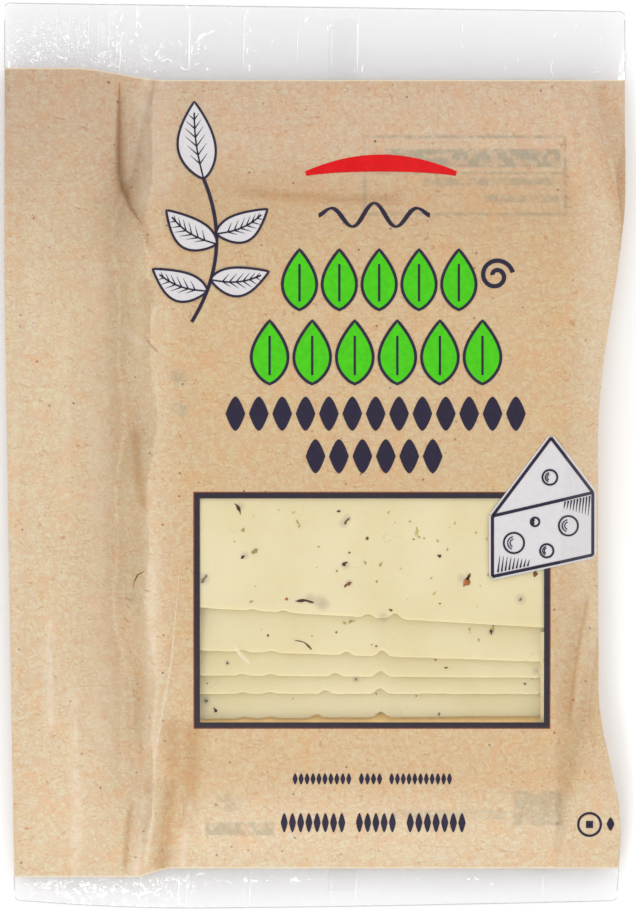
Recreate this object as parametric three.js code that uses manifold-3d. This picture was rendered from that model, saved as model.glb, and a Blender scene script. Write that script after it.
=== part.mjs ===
// A sealed film pack of sliced cheese that lies on its back, its printed side up.
// Millimetres: +X is the pack's right, +Y its top end and +Z up from the table at z = 0.

import * as THREE from 'three';
import Module from 'manifold-3d';
import { mergeVertices } from 'three/addons/utils/BufferGeometryUtils.js';

const wasm = await Module();
wasm.setup();

// Outline of the whole pack
const HALF_WIDTH = 79.7;
const HALF_LENGTH = 116.3;
const CORNER_RADIUS = 2;
const LEFT_LEAN = 2.6; // the left edge comes in by this much towards the bottom
const LEFT_LEAN_FROM = 45;
const WAIST_DEPTH = 6.9; // the thick stack pulls the right edge in beside the window
const WAIST_TOP = 70;
const WAIST_FULL = 5;
const WAIST_RELEASE = 5.8;
const RELEASE_FROM = -60;
const RELEASE_TO = -97;
const TOP_EDGE_FALL = 2.2; // the top edge is lower at its right end
const BOTTOM_LOW_X = -33; // the bottom edge is lowest here and rises to both corners
const BOTTOM_RISE_LEFT = 2.1;
const BOTTOM_RISE_RIGHT = 1.9;

// Where the print stops and the clear ends begin
const PRINT_TOP = 96.5;
const PRINT_TOP_STEP = 3.1; // the print reaches higher on the slack left side
const PRINT_BOTTOM = -106.1;
const PRINT_BOTTOM_STEP = 2.2;
const STEP_RIGHT_X = -38;
const STEP_LEFT_TOP_X = -62;
const STEP_LEFT_BOTTOM_X = -48;

// Film
const FILM = 0.7;
const GAP = 0.3; // kept between neighbouring pieces
const END_MID = 3; // height of the middle of the flat ends above the table
const END_HALF = 1.2; // half the height where the print stops
const RIM_HALF = 0.5; // half the height of the sealed end edges and of the side folds
const LEFT_FOLD_LIFT = 2;
const RIGHT_FOLD_LIFT = 3.6;
const FOLD_ROUNDING = 6;
const BAND_CLOSED_AT = 0.6; // share of a clear end's length at which its two films meet
const BAND_WAVE = 0.45;
const BAND_WAVE_LENGTH = 47;

// Slices
const SLICE_COUNT = 10;
const SLICE_WIDTH = 98;
const SLICE_LENGTH = 97;
const SLICE_THICKNESS = 2;
const SLICE_PITCH = 2.1;
const SLICE_CORNER = 1.5;
const STACK_BASE = 1.3;
const FANNED = [
  { x: 14.6, y: 7, turn: -3.3 },
  { x: 11.2, y: -2.8, turn: -1.9 },
  { x: 9.6, y: -8.2, turn: -0.4 },
  { x: 9.1, y: -12.7, turn: 0 },
  { x: 8.8, y: -18.9, turn: 0.5 },
]; // the slices whose lower edges show, from the top one down
const SQUARED = { x: 8.8, y: -18.5 }; // the slices below them lie squared up
const SQUARED_SHIFT = 0.25;
const SQUARED_TURN = 0.3;

// Scallops in the lower edge of every slice, left by the block that they were cut from: some
// run straight down the stack, and one drifts sideways from slice to slice
const SCALLOPS = [
  { x: 7.3, width: 3.6, depth: 1.5, drift: 0 },
  { x: 0.3, width: 3, depth: 0.9, drift: -2.35 },
  { x: -20.5, width: 2.4, depth: 0.5, drift: 0 },
  { x: -28.6, width: 2.2, depth: 0.5, drift: 0.4 },
];
const EDGE_STEPS = 60;
const CORNER_STEPS = 3;

// Where the film bends over the stack
const PLATEAU = STACK_BASE + (SLICE_COUNT - 1) * SLICE_PITCH + SLICE_THICKNESS + GAP + FILM;
const BENDS = [
  [PRINT_BOTTOM, END_MID + END_HALF],
  [-53.2, PLATEAU - SLICE_PITCH],
  [-44.5, PLATEAU],
  [59, PLATEAU],
  [64, PLATEAU - 1.7],
  [PRINT_TOP, END_MID + END_HALF],
];
const STACK_LEFT = -42.2;
const STACK_RIGHT = 61.8;
const STACK_RIGHT_LEAN = Math.tan(THREE.MathUtils.degToRad(-FANNED[0].turn));
const LEAN_FROM = -44;
const LEFT_SLOPE = 2.3;
const RIGHT_SLOPE = 1.5;
const VALLEY_X = -50;
const SLACK_RISE = 3.4; // the slack film left of the stack swells by this much
const BEND_SOFTNESS = 1.6;
const FADE_TOP = 62;
const FADE_BOTTOM = -72;

// The film's underside, flat under the stack
const FLAT_LEFT = -46;
const FLAT_PAST_STACK = 1;
const FLAT_TOP = 70;
const FLAT_BOTTOM = -78;

// The clear window in the print
const WINDOW = { left: -29.6, right: 59, bottom: -68.5, top: -10.8 };
const WINDOW_FILM = 0.5;

// The room inside for the slices
const ROOM = { left: -41.2, bottom: -71, top: 59.5 };
const ROOM_WALL = 0.6; // between the room and the line where the film starts down on the right

// The folded fin seal that runs down the middle of the back
const SEAM_LEFT = 3.4;
const SEAM_RIGHT = 10.6;
const SEAM_THICKNESS = 0.3;
const SEAM_GAP = 0.2;
const SEAM_END = 112;

// Grid of the film sheets: where a stretch starts, and the steps in it
const COLUMN_MARKS = [
  [-HALF_WIDTH, 1],
  [-HALF_WIDTH + 0.5, 1],
  [-HALF_WIDTH + CORNER_RADIUS, 1],
  [-HALF_WIDTH + FOLD_ROUNDING, 4],
  [-54, 8],
  [-40, 7],
  [60, 9],
  [HALF_WIDTH - CORNER_RADIUS, 1],
  [HALF_WIDTH - 0.5, 1],
  [HALF_WIDTH, 0],
];
const ROW_MARKS = [
  [PRINT_BOTTOM, 8],
  [-53.2, 2],
  [-44.5, 14],
  [59, 2],
  [64, 7],
  [PRINT_TOP, 0],
];
const BAND_ROWS = 4;
const WINDOW_STEPS = 12;
const SEAM_ROWS = 40;

const clamp01 = (t) => Math.min(Math.max(t, 0), 1);
const mix = (a, b, t) => a + (b - a) * t;

function smooth(from, to, value) {
  const t = clamp01((value - from) / (to - from));
  return t * t * (3 - 2 * t);
}

function smoothMax(a, b, softness) {
  const t = clamp01(0.5 + (a - b) / (2 * softness));
  return mix(b, a, t) + softness * t * (1 - t);
}

function leftEdge(y) {
  const lean = clamp01((LEFT_LEAN_FROM - y) / (LEFT_LEAN_FROM + HALF_LENGTH));
  return -HALF_WIDTH + LEFT_LEAN * lean;
}

function rightEdge(y) {
  const pulled = WAIST_DEPTH * smooth(WAIST_TOP, WAIST_FULL, y);
  const released = WAIST_RELEASE * smooth(RELEASE_FROM, RELEASE_TO, y);
  return HALF_WIDTH - pulled + released - smooth(RELEASE_TO, -HALF_LENGTH, y);
}

// How far a rounded corner sets the end edge back, at a distance from the pack's side
function cornerSetback(distance) {
  const inside = CORNER_RADIUS - Math.min(distance, CORNER_RADIUS);
  return CORNER_RADIUS - Math.sqrt(CORNER_RADIUS ** 2 - inside ** 2);
}

function topEdge(x, distance) {
  const across = (x + HALF_WIDTH) / (2 * HALF_WIDTH);
  return HALF_LENGTH - TOP_EDGE_FALL * across - cornerSetback(distance);
}

function bottomEdge(x, distance) {
  const toLeft = clamp01((BOTTOM_LOW_X - x) / (HALF_WIDTH + BOTTOM_LOW_X));
  const toRight = clamp01((x - BOTTOM_LOW_X) / (HALF_WIDTH - BOTTOM_LOW_X));
  const rise = BOTTOM_RISE_LEFT * toLeft ** 2 + BOTTOM_RISE_RIGHT * toRight ** 1.5;
  return -HALF_LENGTH + rise + cornerSetback(distance);
}

const printTop = (x) => PRINT_TOP + PRINT_TOP_STEP * smooth(STEP_RIGHT_X, STEP_LEFT_TOP_X, x);
const printBottom = (x) =>
  PRINT_BOTTOM - PRINT_BOTTOM_STEP * smooth(STEP_RIGHT_X, STEP_LEFT_BOTTOM_X, x);

function stackLine(y) {
  const after = BENDS.findIndex(([bendY]) => bendY >= y);
  if (after === 0) return BENDS[0][1];
  if (after < 0) return BENDS[BENDS.length - 1][1];
  const [y0, z0] = BENDS[after - 1];
  const [y1, z1] = BENDS[after];
  return mix(z0, z1, (y - y0) / (y1 - y0));
}

const stackRight = (y) => STACK_RIGHT + STACK_RIGHT_LEAN * Math.max(0, y - LEAN_FROM);

// 1 along the stack, 0 at both printed ends
const middle = (y) => smooth(PRINT_BOTTOM, FADE_BOTTOM, y) * smooth(PRINT_TOP, FADE_TOP, y);

function filmTop(x, y) {
  const overLeft = LEFT_SLOPE * Math.max(0, STACK_LEFT - x);
  const overRight = RIGHT_SLOPE * Math.max(0, x - stackRight(y));
  const tent = stackLine(y) - overLeft - overRight;
  const slackShare = clamp01((x - leftEdge(y)) / (VALLEY_X - leftEdge(y)));
  const swell = SLACK_RISE * Math.sin(Math.PI * slackShare) * middle(y);
  return smoothMax(tent, END_MID + END_HALF + swell, BEND_SOFTNESS);
}

function filmBottom(x, y) {
  const lift = END_MID - END_HALF;
  const toEnd = Math.max(smooth(FLAT_TOP, PRINT_TOP, y), smooth(FLAT_BOTTOM, PRINT_BOTTOM, y));
  const toLeft = smooth(FLAT_LEFT, leftEdge(y), x) * (lift + LEFT_FOLD_LIFT * middle(y));
  const flatRight = stackRight(y) + FLAT_PAST_STACK;
  const toRight = smooth(flatRight, rightEdge(y), x) * (lift + RIGHT_FOLD_LIFT * middle(y));
  return Math.max(toEnd * lift, toLeft, toRight);
}

// The two film faces at a point, drawn together into a fold at the pack's sides
function film(x, y) {
  const distance = Math.min(x - leftEdge(y), rightEdge(y) - x);
  const inside = 1 - clamp01(distance / FOLD_ROUNDING);
  const open = Math.sqrt(1 - inside ** 2);
  const fold = END_MID + (x < 0 ? LEFT_FOLD_LIFT : RIGHT_FOLD_LIFT) * middle(y);
  return {
    top: mix(fold + RIM_HALF, filmTop(x, y), open),
    bottom: mix(fold - RIM_HALF, filmBottom(x, y), open),
  };
}

// A closed solid between an upper and a lower sheet, both on one grid of points
function slab(columns, rows, point) {
  const positions = [];
  for (const v of rows) {
    for (const u of columns) {
      const { x, y, top, bottom } = point(u, v);
      positions.push(x, y, bottom, x, y, top);
    }
  }
  const lastColumn = columns.length - 1;
  const lastRow = rows.length - 1;
  const low = (i, j) => 2 * (j * columns.length + i);
  const high = (i, j) => low(i, j) + 1;
  const index = [];
  const quad = (a, b, c, d) => index.push(a, b, c, a, c, d);
  for (let j = 0; j < lastRow; j += 1) {
    for (let i = 0; i < lastColumn; i += 1) {
      quad(high(i, j), high(i + 1, j), high(i + 1, j + 1), high(i, j + 1));
      quad(low(i, j), low(i, j + 1), low(i + 1, j + 1), low(i + 1, j));
    }
    quad(low(0, j), high(0, j), high(0, j + 1), low(0, j + 1));
    quad(low(lastColumn, j + 1), high(lastColumn, j + 1), high(lastColumn, j), low(lastColumn, j));
  }
  for (let i = 0; i < lastColumn; i += 1) {
    quad(low(i, 0), low(i + 1, 0), high(i + 1, 0), high(i, 0));
    quad(low(i + 1, lastRow), low(i, lastRow), high(i, lastRow), high(i + 1, lastRow));
  }
  const geometry = new THREE.BufferGeometry();
  geometry.setAttribute('position', new THREE.Float32BufferAttribute(positions, 3));
  geometry.setIndex(index);
  return geometry;
}

const evenly = (count) => Array.from({ length: count + 1 }, (_, i) => i / count);

// The shares of a whole length that its marked stretches and their steps give
function sharesOf(marks) {
  const [first] = marks[0];
  const [last] = marks[marks.length - 1];
  const places = marks.flatMap(([at, steps], i) => {
    const next = i + 1 < marks.length ? marks[i + 1][0] : at;
    return evenly(steps || 1).slice(0, -1).map((t) => mix(at, next, t));
  });
  return places.map((place) => (place - first) / (last - first));
}

const ACROSS = sharesOf(COLUMN_MARKS);

function solidOf(geometry) {
  const bare = geometry.clone();
  bare.deleteAttribute('normal');
  bare.deleteAttribute('uv');
  const merged = mergeVertices(bare);
  const mesh = new wasm.Mesh({
    numProp: 3,
    vertProperties: merged.attributes.position.array,
    triVerts: new Uint32Array(merged.index.array),
  });
  return new wasm.Manifold(mesh);
}

function geometryOf(solid) {
  const { vertProperties, triVerts } = solid.getMesh();
  const geometry = new THREE.BufferGeometry();
  geometry.setAttribute('position', new THREE.Float32BufferAttribute(vertProperties, 3));
  geometry.setIndex(new THREE.Uint32BufferAttribute(triVerts, 1));
  return geometry;
}

function pillow() {
  return slab(ACROSS, sharesOf(ROW_MARKS), (u, v) => {
    const nearX = mix(-HALF_WIDTH, HALF_WIDTH, u);
    const y = mix(printBottom(nearX), printTop(nearX), v);
    const x = mix(leftEdge(y), rightEdge(y), u);
    return { x, y, ...film(x, y) };
  });
}

// The room for the slices, which follows the film above and to the right of them
function stackRoom() {
  const bends = BENDS.map(([y]) => y).filter((y) => y > ROOM.bottom && y < ROOM.top);
  return slab([0, 1], [ROOM.bottom, ...bends, ROOM.top], (u, y) => ({
    x: mix(ROOM.left, stackRight(y) - ROOM_WALL, u),
    y,
    top: stackLine(y) - FILM,
    bottom: STACK_BASE - GAP,
  }));
}

function windowOpening() {
  const width = WINDOW.right - WINDOW.left;
  const length = WINDOW.top - WINDOW.bottom;
  const inRoom = STACK_BASE + SLICE_PITCH;
  const box = new THREE.BoxGeometry(width, length, PLATEAU);
  box.translate(WINDOW.left + width / 2, WINDOW.bottom + length / 2, inRoom + PLATEAU / 2);
  return box;
}

// The middle and half the height of a clear end, from the print's edge out to the sealed edge
function bandSection(x, share) {
  return {
    mid: END_MID + BAND_WAVE * share * Math.sin((2 * Math.PI * x) / BAND_WAVE_LENGTH),
    half: mix(END_HALF, RIM_HALF, smooth(0, BAND_CLOSED_AT, share)),
  };
}

// The height of the pack's back, away from its sides
function backFace(x, y) {
  const top = printTop(x);
  const bottom = printBottom(x);
  if (y <= top && y >= bottom) return filmBottom(x, y);
  const past = y > top ? y - top : bottom - y;
  const whole = y > top ? topEdge(x, HALF_WIDTH) - top : bottom - bottomEdge(x, HALF_WIDTH);
  const { mid, half } = bandSection(x, clamp01(past / whole));
  return mid - half;
}

// The strip under the back that the fin seal fills, grown by a margin all round
function seamStrip(margin, end) {
  return slab([0, 1], evenly(SEAM_ROWS), (u, v) => {
    const y = mix(-end, end, v);
    const x = mix(SEAM_LEFT - margin, SEAM_RIGHT + margin, u);
    const back = backFace((SEAM_LEFT + SEAM_RIGHT) / 2, y);
    return { x, y, bottom: back - 2 * margin, top: back + SEAM_THICKNESS + margin };
  });
}

// A clear end of the pack: two films that close on each other towards the sealed edge
function clearBand(innerEdge, outerEdge) {
  return slab(ACROSS, evenly(BAND_ROWS), (u, v) => {
    const nearX = mix(-HALF_WIDTH, HALF_WIDTH, u);
    const distance = 2 * HALF_WIDTH * Math.min(u, 1 - u);
    const inner = innerEdge(nearX);
    const outer = outerEdge(nearX, distance);
    const rising = outer > inner;
    const y = rising ? mix(inner, outer, v) : mix(outer, inner, v);
    const share = rising ? v : 1 - v;
    const x = mix(leftEdge(y), rightEdge(y), u);
    const { mid, half } = bandSection(x, share);
    const edgeHalf = mix(Math.min(half, RIM_HALF), half, smooth(0, FOLD_ROUNDING, distance));
    return { x, y, top: mid + edgeHalf, bottom: mid - edgeHalf };
  });
}

function windowFilm() {
  return slab(evenly(WINDOW_STEPS), evenly(WINDOW_STEPS), (u, v) => {
    const x = mix(WINDOW.left + GAP, WINDOW.right - GAP, u);
    const y = mix(WINDOW.bottom + GAP, WINDOW.top - GAP, v);
    const top = filmTop(x, y);
    return { x, y, top, bottom: top - WINDOW_FILM };
  });
}

// How far the lower edge of slice number i is eaten in at x
function scallop(x, i) {
  return SCALLOPS.reduce((sum, { x: middleX, width, depth, drift }) => {
    const away = Math.abs(x - middleX - drift * i);
    return sum + depth * smooth(width, 0, away);
  }, 0);
}

// Slice number i seen from above, centred on itself
function sliceOutline(i) {
  const halfWidth = SLICE_WIDTH / 2;
  const halfLength = SLICE_LENGTH / 2;
  const outline = new THREE.Shape();
  for (const t of evenly(EDGE_STEPS)) {
    const x = mix(-halfWidth + SLICE_CORNER, halfWidth - SLICE_CORNER, t);
    const y = -halfLength + scallop(x, i);
    if (t === 0) outline.moveTo(x, y);
    else outline.lineTo(x, y);
  }
  const corners = [
    [halfWidth - SLICE_CORNER, -halfLength + SLICE_CORNER, -Math.PI / 2],
    [halfWidth - SLICE_CORNER, halfLength - SLICE_CORNER, 0],
    [-halfWidth + SLICE_CORNER, halfLength - SLICE_CORNER, Math.PI / 2],
    [-halfWidth + SLICE_CORNER, -halfLength + SLICE_CORNER, Math.PI],
  ];
  for (const [x, y, from] of corners) {
    outline.absarc(x, y, SLICE_CORNER, from, from + Math.PI / 2, false);
  }
  return outline;
}

function sliceSolid(i) {
  return new THREE.ExtrudeGeometry(sliceOutline(i), {
    depth: SLICE_THICKNESS,
    bevelEnabled: false,
    curveSegments: CORNER_STEPS,
  });
}

// Where slice number i lies, counted from the top one
function sliceLie(i) {
  if (i < FANNED.length) return FANNED[i];
  const side = i % 2 === 0 ? 1 : -1;
  return {
    x: SQUARED.x + side * SQUARED_SHIFT,
    y: SQUARED.y + (i % 3) * SQUARED_SHIFT,
    turn: side * SQUARED_TURN,
  };
}

const printedFilm = new THREE.MeshStandardMaterial({ color: 0xdbc29b, roughness: 0.42, metalness: 0 });
const clearFilm = new THREE.MeshStandardMaterial({
  color: 0xefeef0,
  roughness: 0.12,
  metalness: 0,
  transparent: true,
  opacity: 0.35,
});
const cheese = new THREE.MeshStandardMaterial({ color: 0xe7dab2, roughness: 0.5, metalness: 0 });

const pack = new THREE.Group();

function addPart(name, geometry, material) {
  const mesh = new THREE.Mesh(geometry, material);
  mesh.name = name;
  pack.add(mesh);
  return mesh;
}

const seamGroove = solidOf(seamStrip(SEAM_GAP, HALF_LENGTH + 1));
const pouch = solidOf(pillow())
  .subtract(solidOf(stackRoom()))
  .subtract(solidOf(windowOpening()))
  .subtract(seamGroove);
addPart('printed_pouch', geometryOf(pouch), printedFilm);
addPart('window_film', windowFilm(), clearFilm);

const topBand = solidOf(clearBand((x) => printTop(x) + GAP, topEdge));
const bottomBand = solidOf(clearBand((x) => printBottom(x) - GAP, bottomEdge));
addPart('top_clear_band', geometryOf(topBand.subtract(seamGroove)), clearFilm);
addPart('bottom_clear_band', geometryOf(bottomBand.subtract(seamGroove)), clearFilm);
addPart('back_seam', seamStrip(0, SEAM_END), printedFilm);

for (let i = 0; i < SLICE_COUNT; i += 1) {
  const number = String(i + 1).padStart(2, '0');
  const { x, y, turn } = sliceLie(i);
  const slice = addPart(`cheese_slice_${number}`, sliceSolid(i), cheese);
  slice.position.set(x, y, STACK_BASE + (SLICE_COUNT - 1 - i) * SLICE_PITCH);
  slice.rotation.z = THREE.MathUtils.degToRad(turn);
}

export default pack;
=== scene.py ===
import math
import random

import bpy
import numpy as np
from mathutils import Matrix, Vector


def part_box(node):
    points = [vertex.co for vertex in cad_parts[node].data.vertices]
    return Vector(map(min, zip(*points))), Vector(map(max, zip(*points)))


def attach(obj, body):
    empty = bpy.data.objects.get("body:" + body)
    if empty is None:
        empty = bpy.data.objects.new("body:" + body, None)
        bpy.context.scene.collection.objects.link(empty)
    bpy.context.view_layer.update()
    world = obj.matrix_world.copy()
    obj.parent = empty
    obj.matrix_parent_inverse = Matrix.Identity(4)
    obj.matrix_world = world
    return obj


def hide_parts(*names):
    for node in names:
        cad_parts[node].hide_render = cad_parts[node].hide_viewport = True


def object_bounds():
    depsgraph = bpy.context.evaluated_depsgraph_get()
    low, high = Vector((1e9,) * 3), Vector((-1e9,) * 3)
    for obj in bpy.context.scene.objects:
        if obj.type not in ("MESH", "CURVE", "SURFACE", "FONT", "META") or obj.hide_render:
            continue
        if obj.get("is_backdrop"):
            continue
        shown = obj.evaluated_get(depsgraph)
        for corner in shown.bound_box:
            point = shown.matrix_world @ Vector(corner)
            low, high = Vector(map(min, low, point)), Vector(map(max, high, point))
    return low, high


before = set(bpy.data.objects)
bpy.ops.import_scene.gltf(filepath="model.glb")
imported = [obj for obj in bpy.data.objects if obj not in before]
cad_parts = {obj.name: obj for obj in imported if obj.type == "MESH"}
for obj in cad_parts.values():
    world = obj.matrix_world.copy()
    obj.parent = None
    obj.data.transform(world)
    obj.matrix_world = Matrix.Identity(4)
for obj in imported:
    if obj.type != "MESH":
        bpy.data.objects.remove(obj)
CAD_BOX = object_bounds()

bl_info = {
    "name": "Sliced cheese pack",
    "version": (1, 0, 0),
    "blender": (4, 5, 0),
    "location": "View3D > Sidebar > Cheese pack",
    "description": "Builds a film pack of fanned cheese slices around its packed frame",
    "category": "Object",
}

MM = 0.001

# Lengths are in millimetres. The pack's own sizes repeat those of the part's source.
HALF_WIDTH = 79.7
HALF_LENGTH = 116.3
CORNER_RADIUS = 0.7
LEFT_LEAN = 2.6
LEFT_LEAN_FROM = 45
WAIST_DEPTH = 6.9
WAIST_TOP = 70
WAIST_FULL = 5
WAIST_RELEASE = 5.8
RELEASE_FROM = -60
RELEASE_TO = -97
TOP_EDGE_FALL = 2.2
BOTTOM_LOW_X = -33
BOTTOM_RISE_LEFT = 2.1
BOTTOM_RISE_RIGHT = 1.9

PRINT_TOP = 96.5
PRINT_TOP_STEP = 3.1
PRINT_BOTTOM = -106.1
PRINT_BOTTOM_STEP = 2.2
STEP_RIGHT_X = -38
STEP_LEFT_TOP_X = -62
STEP_LEFT_BOTTOM_X = -48

END_MID = 3
END_HALF = 1.2
SEALED_HALF = 0.12
FOLD_HALF = 0.1
LEFT_FOLD_LIFT = 2
RIGHT_FOLD_LIFT = 3.6
FOLD_ROUNDING = 6
BAND_CLOSED_AT = 0.6
BAND_WAVE = 0.45
BAND_WAVE_LENGTH = 47
BAND_LENGTH = 10

SLICE_PITCH = 2.1
SLICE_WIDTH = 98
SLICE_LENGTH = 97
SLICE_THICKNESS = 2
# A dressed slice lies a little inside its solid, so that its uneven face stays in it
SHEET_THICKNESS = SLICE_THICKNESS - 0.06
SLICE_SETTLED = 0.04
SLICE_COLUMNS = 150
SLICE_ROWS = 24
ROW_CROWDING = 1.6  # how closely the rows crowd towards the cut lower edge
SLICE_CORNER = 0.7
SLICES = 10
FANNED_TURNS = (-3.3, -1.9, -0.4, 0, 0.5)
SQUARED_TURN = 0.3
SCALLOPS = (
    # x, half width, depth, sideways drift from slice to slice
    (7.7, 2.5, 1.5, 0),
    (0.9, 2.3, 0.95, -2.4),
    (-20.5, 2.4, 0.5, 0),
    (-28.6, 2.2, 0.5, 0.4),
)
TOP_SCALLOP_SHIFT = 1

FILM_OVER_CHEESE = 0.35
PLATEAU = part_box("cheese_slice_01")[1][2] / MM + FILM_OVER_CHEESE
BENDS = (
    (PRINT_BOTTOM, END_MID + END_HALF),
    (-53.2, PLATEAU - SLICE_PITCH),
    (-44.5, PLATEAU),
    (59, PLATEAU),
    (64, PLATEAU - 1.7),
    (PRINT_TOP, END_MID + END_HALF),
)
STACK_LEFT = -42.2
STACK_RIGHT = 61.8
STACK_RIGHT_LEAN = math.tan(math.radians(-FANNED_TURNS[0]))
LEAN_FROM = -44
LEFT_SLOPE = 2.3
RIGHT_SLOPE = 1.5
VALLEY_X = -50
SLACK_RISE = 3.4
BEND_SOFTNESS = 1.6
FADE_TOP = 62
FADE_BOTTOM = -72
FLAT_LEFT = -46
FLAT_PAST_STACK = 1
FLAT_TOP = 70
FLAT_BOTTOM = -78

SEAM_LEFT = 3.4
SEAM_RIGHT = 10.6
SEAM_END = 112

# The window's printed frame, by its outer edges, and the width of its bars
FRAME_LEFT = -30.8
FRAME_RIGHT = 60.1
FRAME_TOP = -9.6
FRAME_BOTTOM = -69.8
FRAME_BAR = 1.38

# Grid columns of the tube's front, closer together by the creases on the left, and of its back
FRONT_COLUMNS = ((0, -79.7), (15, -62), (81, -30), (122, 55), (145, 69), (168, 79.7))
BAND_COLUMNS = ((0, -79.7), (300, 79.7))
BACK_COLUMNS = 50
FILM_STEP = 1  # between the rows of a film sheet

INK_LIFT = 0.1
INK_THICKNESS = 0.04
LINE_LIFT = 0.14
# The drawings lie over the other print: their white fills and their pen lines
SPRIG_LIFT = INK_LIFT + 0.06
SPRIG_LINE_LIFT = LINE_LIFT + 0.07
WEDGE_EDGE_LIFT = INK_LIFT + 0.1
WEDGE_LIFT = INK_LIFT + 0.12
WEDGE_LINE_LIFT = LINE_LIFT + 0.2
# The back's print
BACK_PANEL_LIFT = 0.04
BACK_LINE_LIFT = 0.07
# Herb flecks on the slices, and glints on the clear ends
FLECK_LIFT = 0.03
FLECK_THICKNESS = 0.12
SMALL_FLECKS = 34
FLECK_SEED = 8
GLINT_LIFT = 0.25
GLINT_SEED = 12
# Points closer than this become one where a grid is rolled up
MERGE_DISTANCE = 0.02

# How much brighter than a plain white studio the light is, which keeps the floor white
LIGHT_LEVEL = 1.2


def seen(red, green, blue):
    """The linear colour of a surface that looks, in this light, like the given 0 to 255 one."""
    shares = (red / 255, green / 255, blue / 255)
    linear = (s / 12.92 if s <= 0.04045 else ((s + 0.055) / 1.055) ** 2.4 for s in shares)
    return tuple(value / LIGHT_LEVEL for value in linear)


def mix(a, b, t):
    return a + (b - a) * t


def turned(x, y, angle, along, aside):
    """A place at some distance along and aside from another, with both turned by an angle."""
    return (
        x + along * math.cos(angle) - aside * math.sin(angle),
        y + along * math.sin(angle) + aside * math.cos(angle),
    )


def smooth(start, end, value):
    t = np.clip((value - start) / (end - start), 0, 1)
    return t * t * (3 - 2 * t)


def smooth_max(a, b, softness):
    t = np.clip(0.5 + (a - b) / (2 * softness), 0, 1)
    return mix(b, a, t) + softness * t * (1 - t)


def left_edge(y):
    lean = np.clip((LEFT_LEAN_FROM - y) / (LEFT_LEAN_FROM + HALF_LENGTH), 0, 1)
    return -HALF_WIDTH + LEFT_LEAN * lean


def right_edge(y):
    pulled = WAIST_DEPTH * smooth(WAIST_TOP, WAIST_FULL, y)
    released = WAIST_RELEASE * smooth(RELEASE_FROM, RELEASE_TO, y)
    return HALF_WIDTH - pulled + released - smooth(RELEASE_TO, -HALF_LENGTH, y)


def corner_setback(distance, radius):
    inside = radius - np.minimum(distance, radius)
    return radius - np.sqrt(radius**2 - inside**2)


def top_edge(x, distance):
    across = (x + HALF_WIDTH) / (2 * HALF_WIDTH)
    return HALF_LENGTH - TOP_EDGE_FALL * across - corner_setback(distance, CORNER_RADIUS)


def bottom_edge(x, distance):
    to_left = np.clip((BOTTOM_LOW_X - x) / (HALF_WIDTH + BOTTOM_LOW_X), 0, 1)
    to_right = np.clip((x - BOTTOM_LOW_X) / (HALF_WIDTH - BOTTOM_LOW_X), 0, 1)
    rise = BOTTOM_RISE_LEFT * to_left**2 + BOTTOM_RISE_RIGHT * to_right**1.5
    return -HALF_LENGTH + rise + corner_setback(distance, CORNER_RADIUS)


def print_top(x):
    return PRINT_TOP + PRINT_TOP_STEP * smooth(STEP_RIGHT_X, STEP_LEFT_TOP_X, x)


def print_bottom(x):
    return PRINT_BOTTOM - PRINT_BOTTOM_STEP * smooth(STEP_RIGHT_X, STEP_LEFT_BOTTOM_X, x)


def stack_line(y):
    return np.interp(y, [bend[0] for bend in BENDS], [bend[1] for bend in BENDS])


def stack_right(y):
    return STACK_RIGHT + STACK_RIGHT_LEAN * np.maximum(0, y - LEAN_FROM)


def middle(y):
    return smooth(PRINT_BOTTOM, FADE_BOTTOM, y) * smooth(PRINT_TOP, FADE_TOP, y)


def ripple(x, y, length, seed, waves=7):
    """A soft uneven swell of about one unit, from waves of about one length in all directions."""
    draw = random.Random(seed)
    total = 0
    for _ in range(waves):
        angle = draw.uniform(0, 2 * math.pi)
        wave = length * draw.uniform(0.7, 1.5)
        along = x * math.cos(angle) + y * math.sin(angle)
        total = total + np.sin(2 * math.pi * along / wave + draw.uniform(0, 2 * math.pi))
    return total / math.sqrt(waves)


def off_path(x, y, path):
    """The distance from a bent line, and how far along it the nearest place lies, from 0 to 1."""
    nearest = np.full(np.shape(x), np.inf)
    share = np.zeros(np.shape(x))
    count = len(path) - 1
    for i in range(count):
        (ax, ay), (bx, by) = path[i], path[i + 1]
        length2 = (bx - ax) ** 2 + (by - ay) ** 2
        t = np.clip(((x - ax) * (bx - ax) + (y - ay) * (by - ay)) / length2, 0, 1)
        away = np.hypot(x - ax - t * (bx - ax), y - ay - t * (by - ay))
        closer = away < nearest
        nearest = np.where(closer, away, nearest)
        share = np.where(closer, (i + t) / count, share)
    return nearest, share


# The long valley between the stack and the slack left side, from the top seal down
VALLEY_HEAD = (
    (-49.8, 98), (-49.8, 90), (-49.7, 73), (-48.9, 69.3), (-47.2, 64.9), (-43.7, 58.5), (-41.8, 50),
)
VALLEY_FOOT = ((-46.5, 14.5), (-45.9, -3.7), (-45.7, -19), (-45.9, -38.4), (-45.7, -62.8), (-45.4, -80))
VALLEY = (*VALLEY_HEAD, (-42.3, 37.4), (-44.7, 26.6), *VALLEY_FOOT)
# The long thin ridge from the stack's lower left corner to the bottom seal
RIDGE = (
    (-34.4, -26.3), (-35.7, -41.5), (-36.7, -52.8), (-38.5, -62.6), (-40.8, -75.4), (-41.4, -83.1),
    (-41.5, -92.9), (-43.9, -108.8),
)
RIGHT_FOLD = ((70.4, -34.4), (68.1, -46.1), (66.6, -55.9), (64.9, -71.1))
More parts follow.
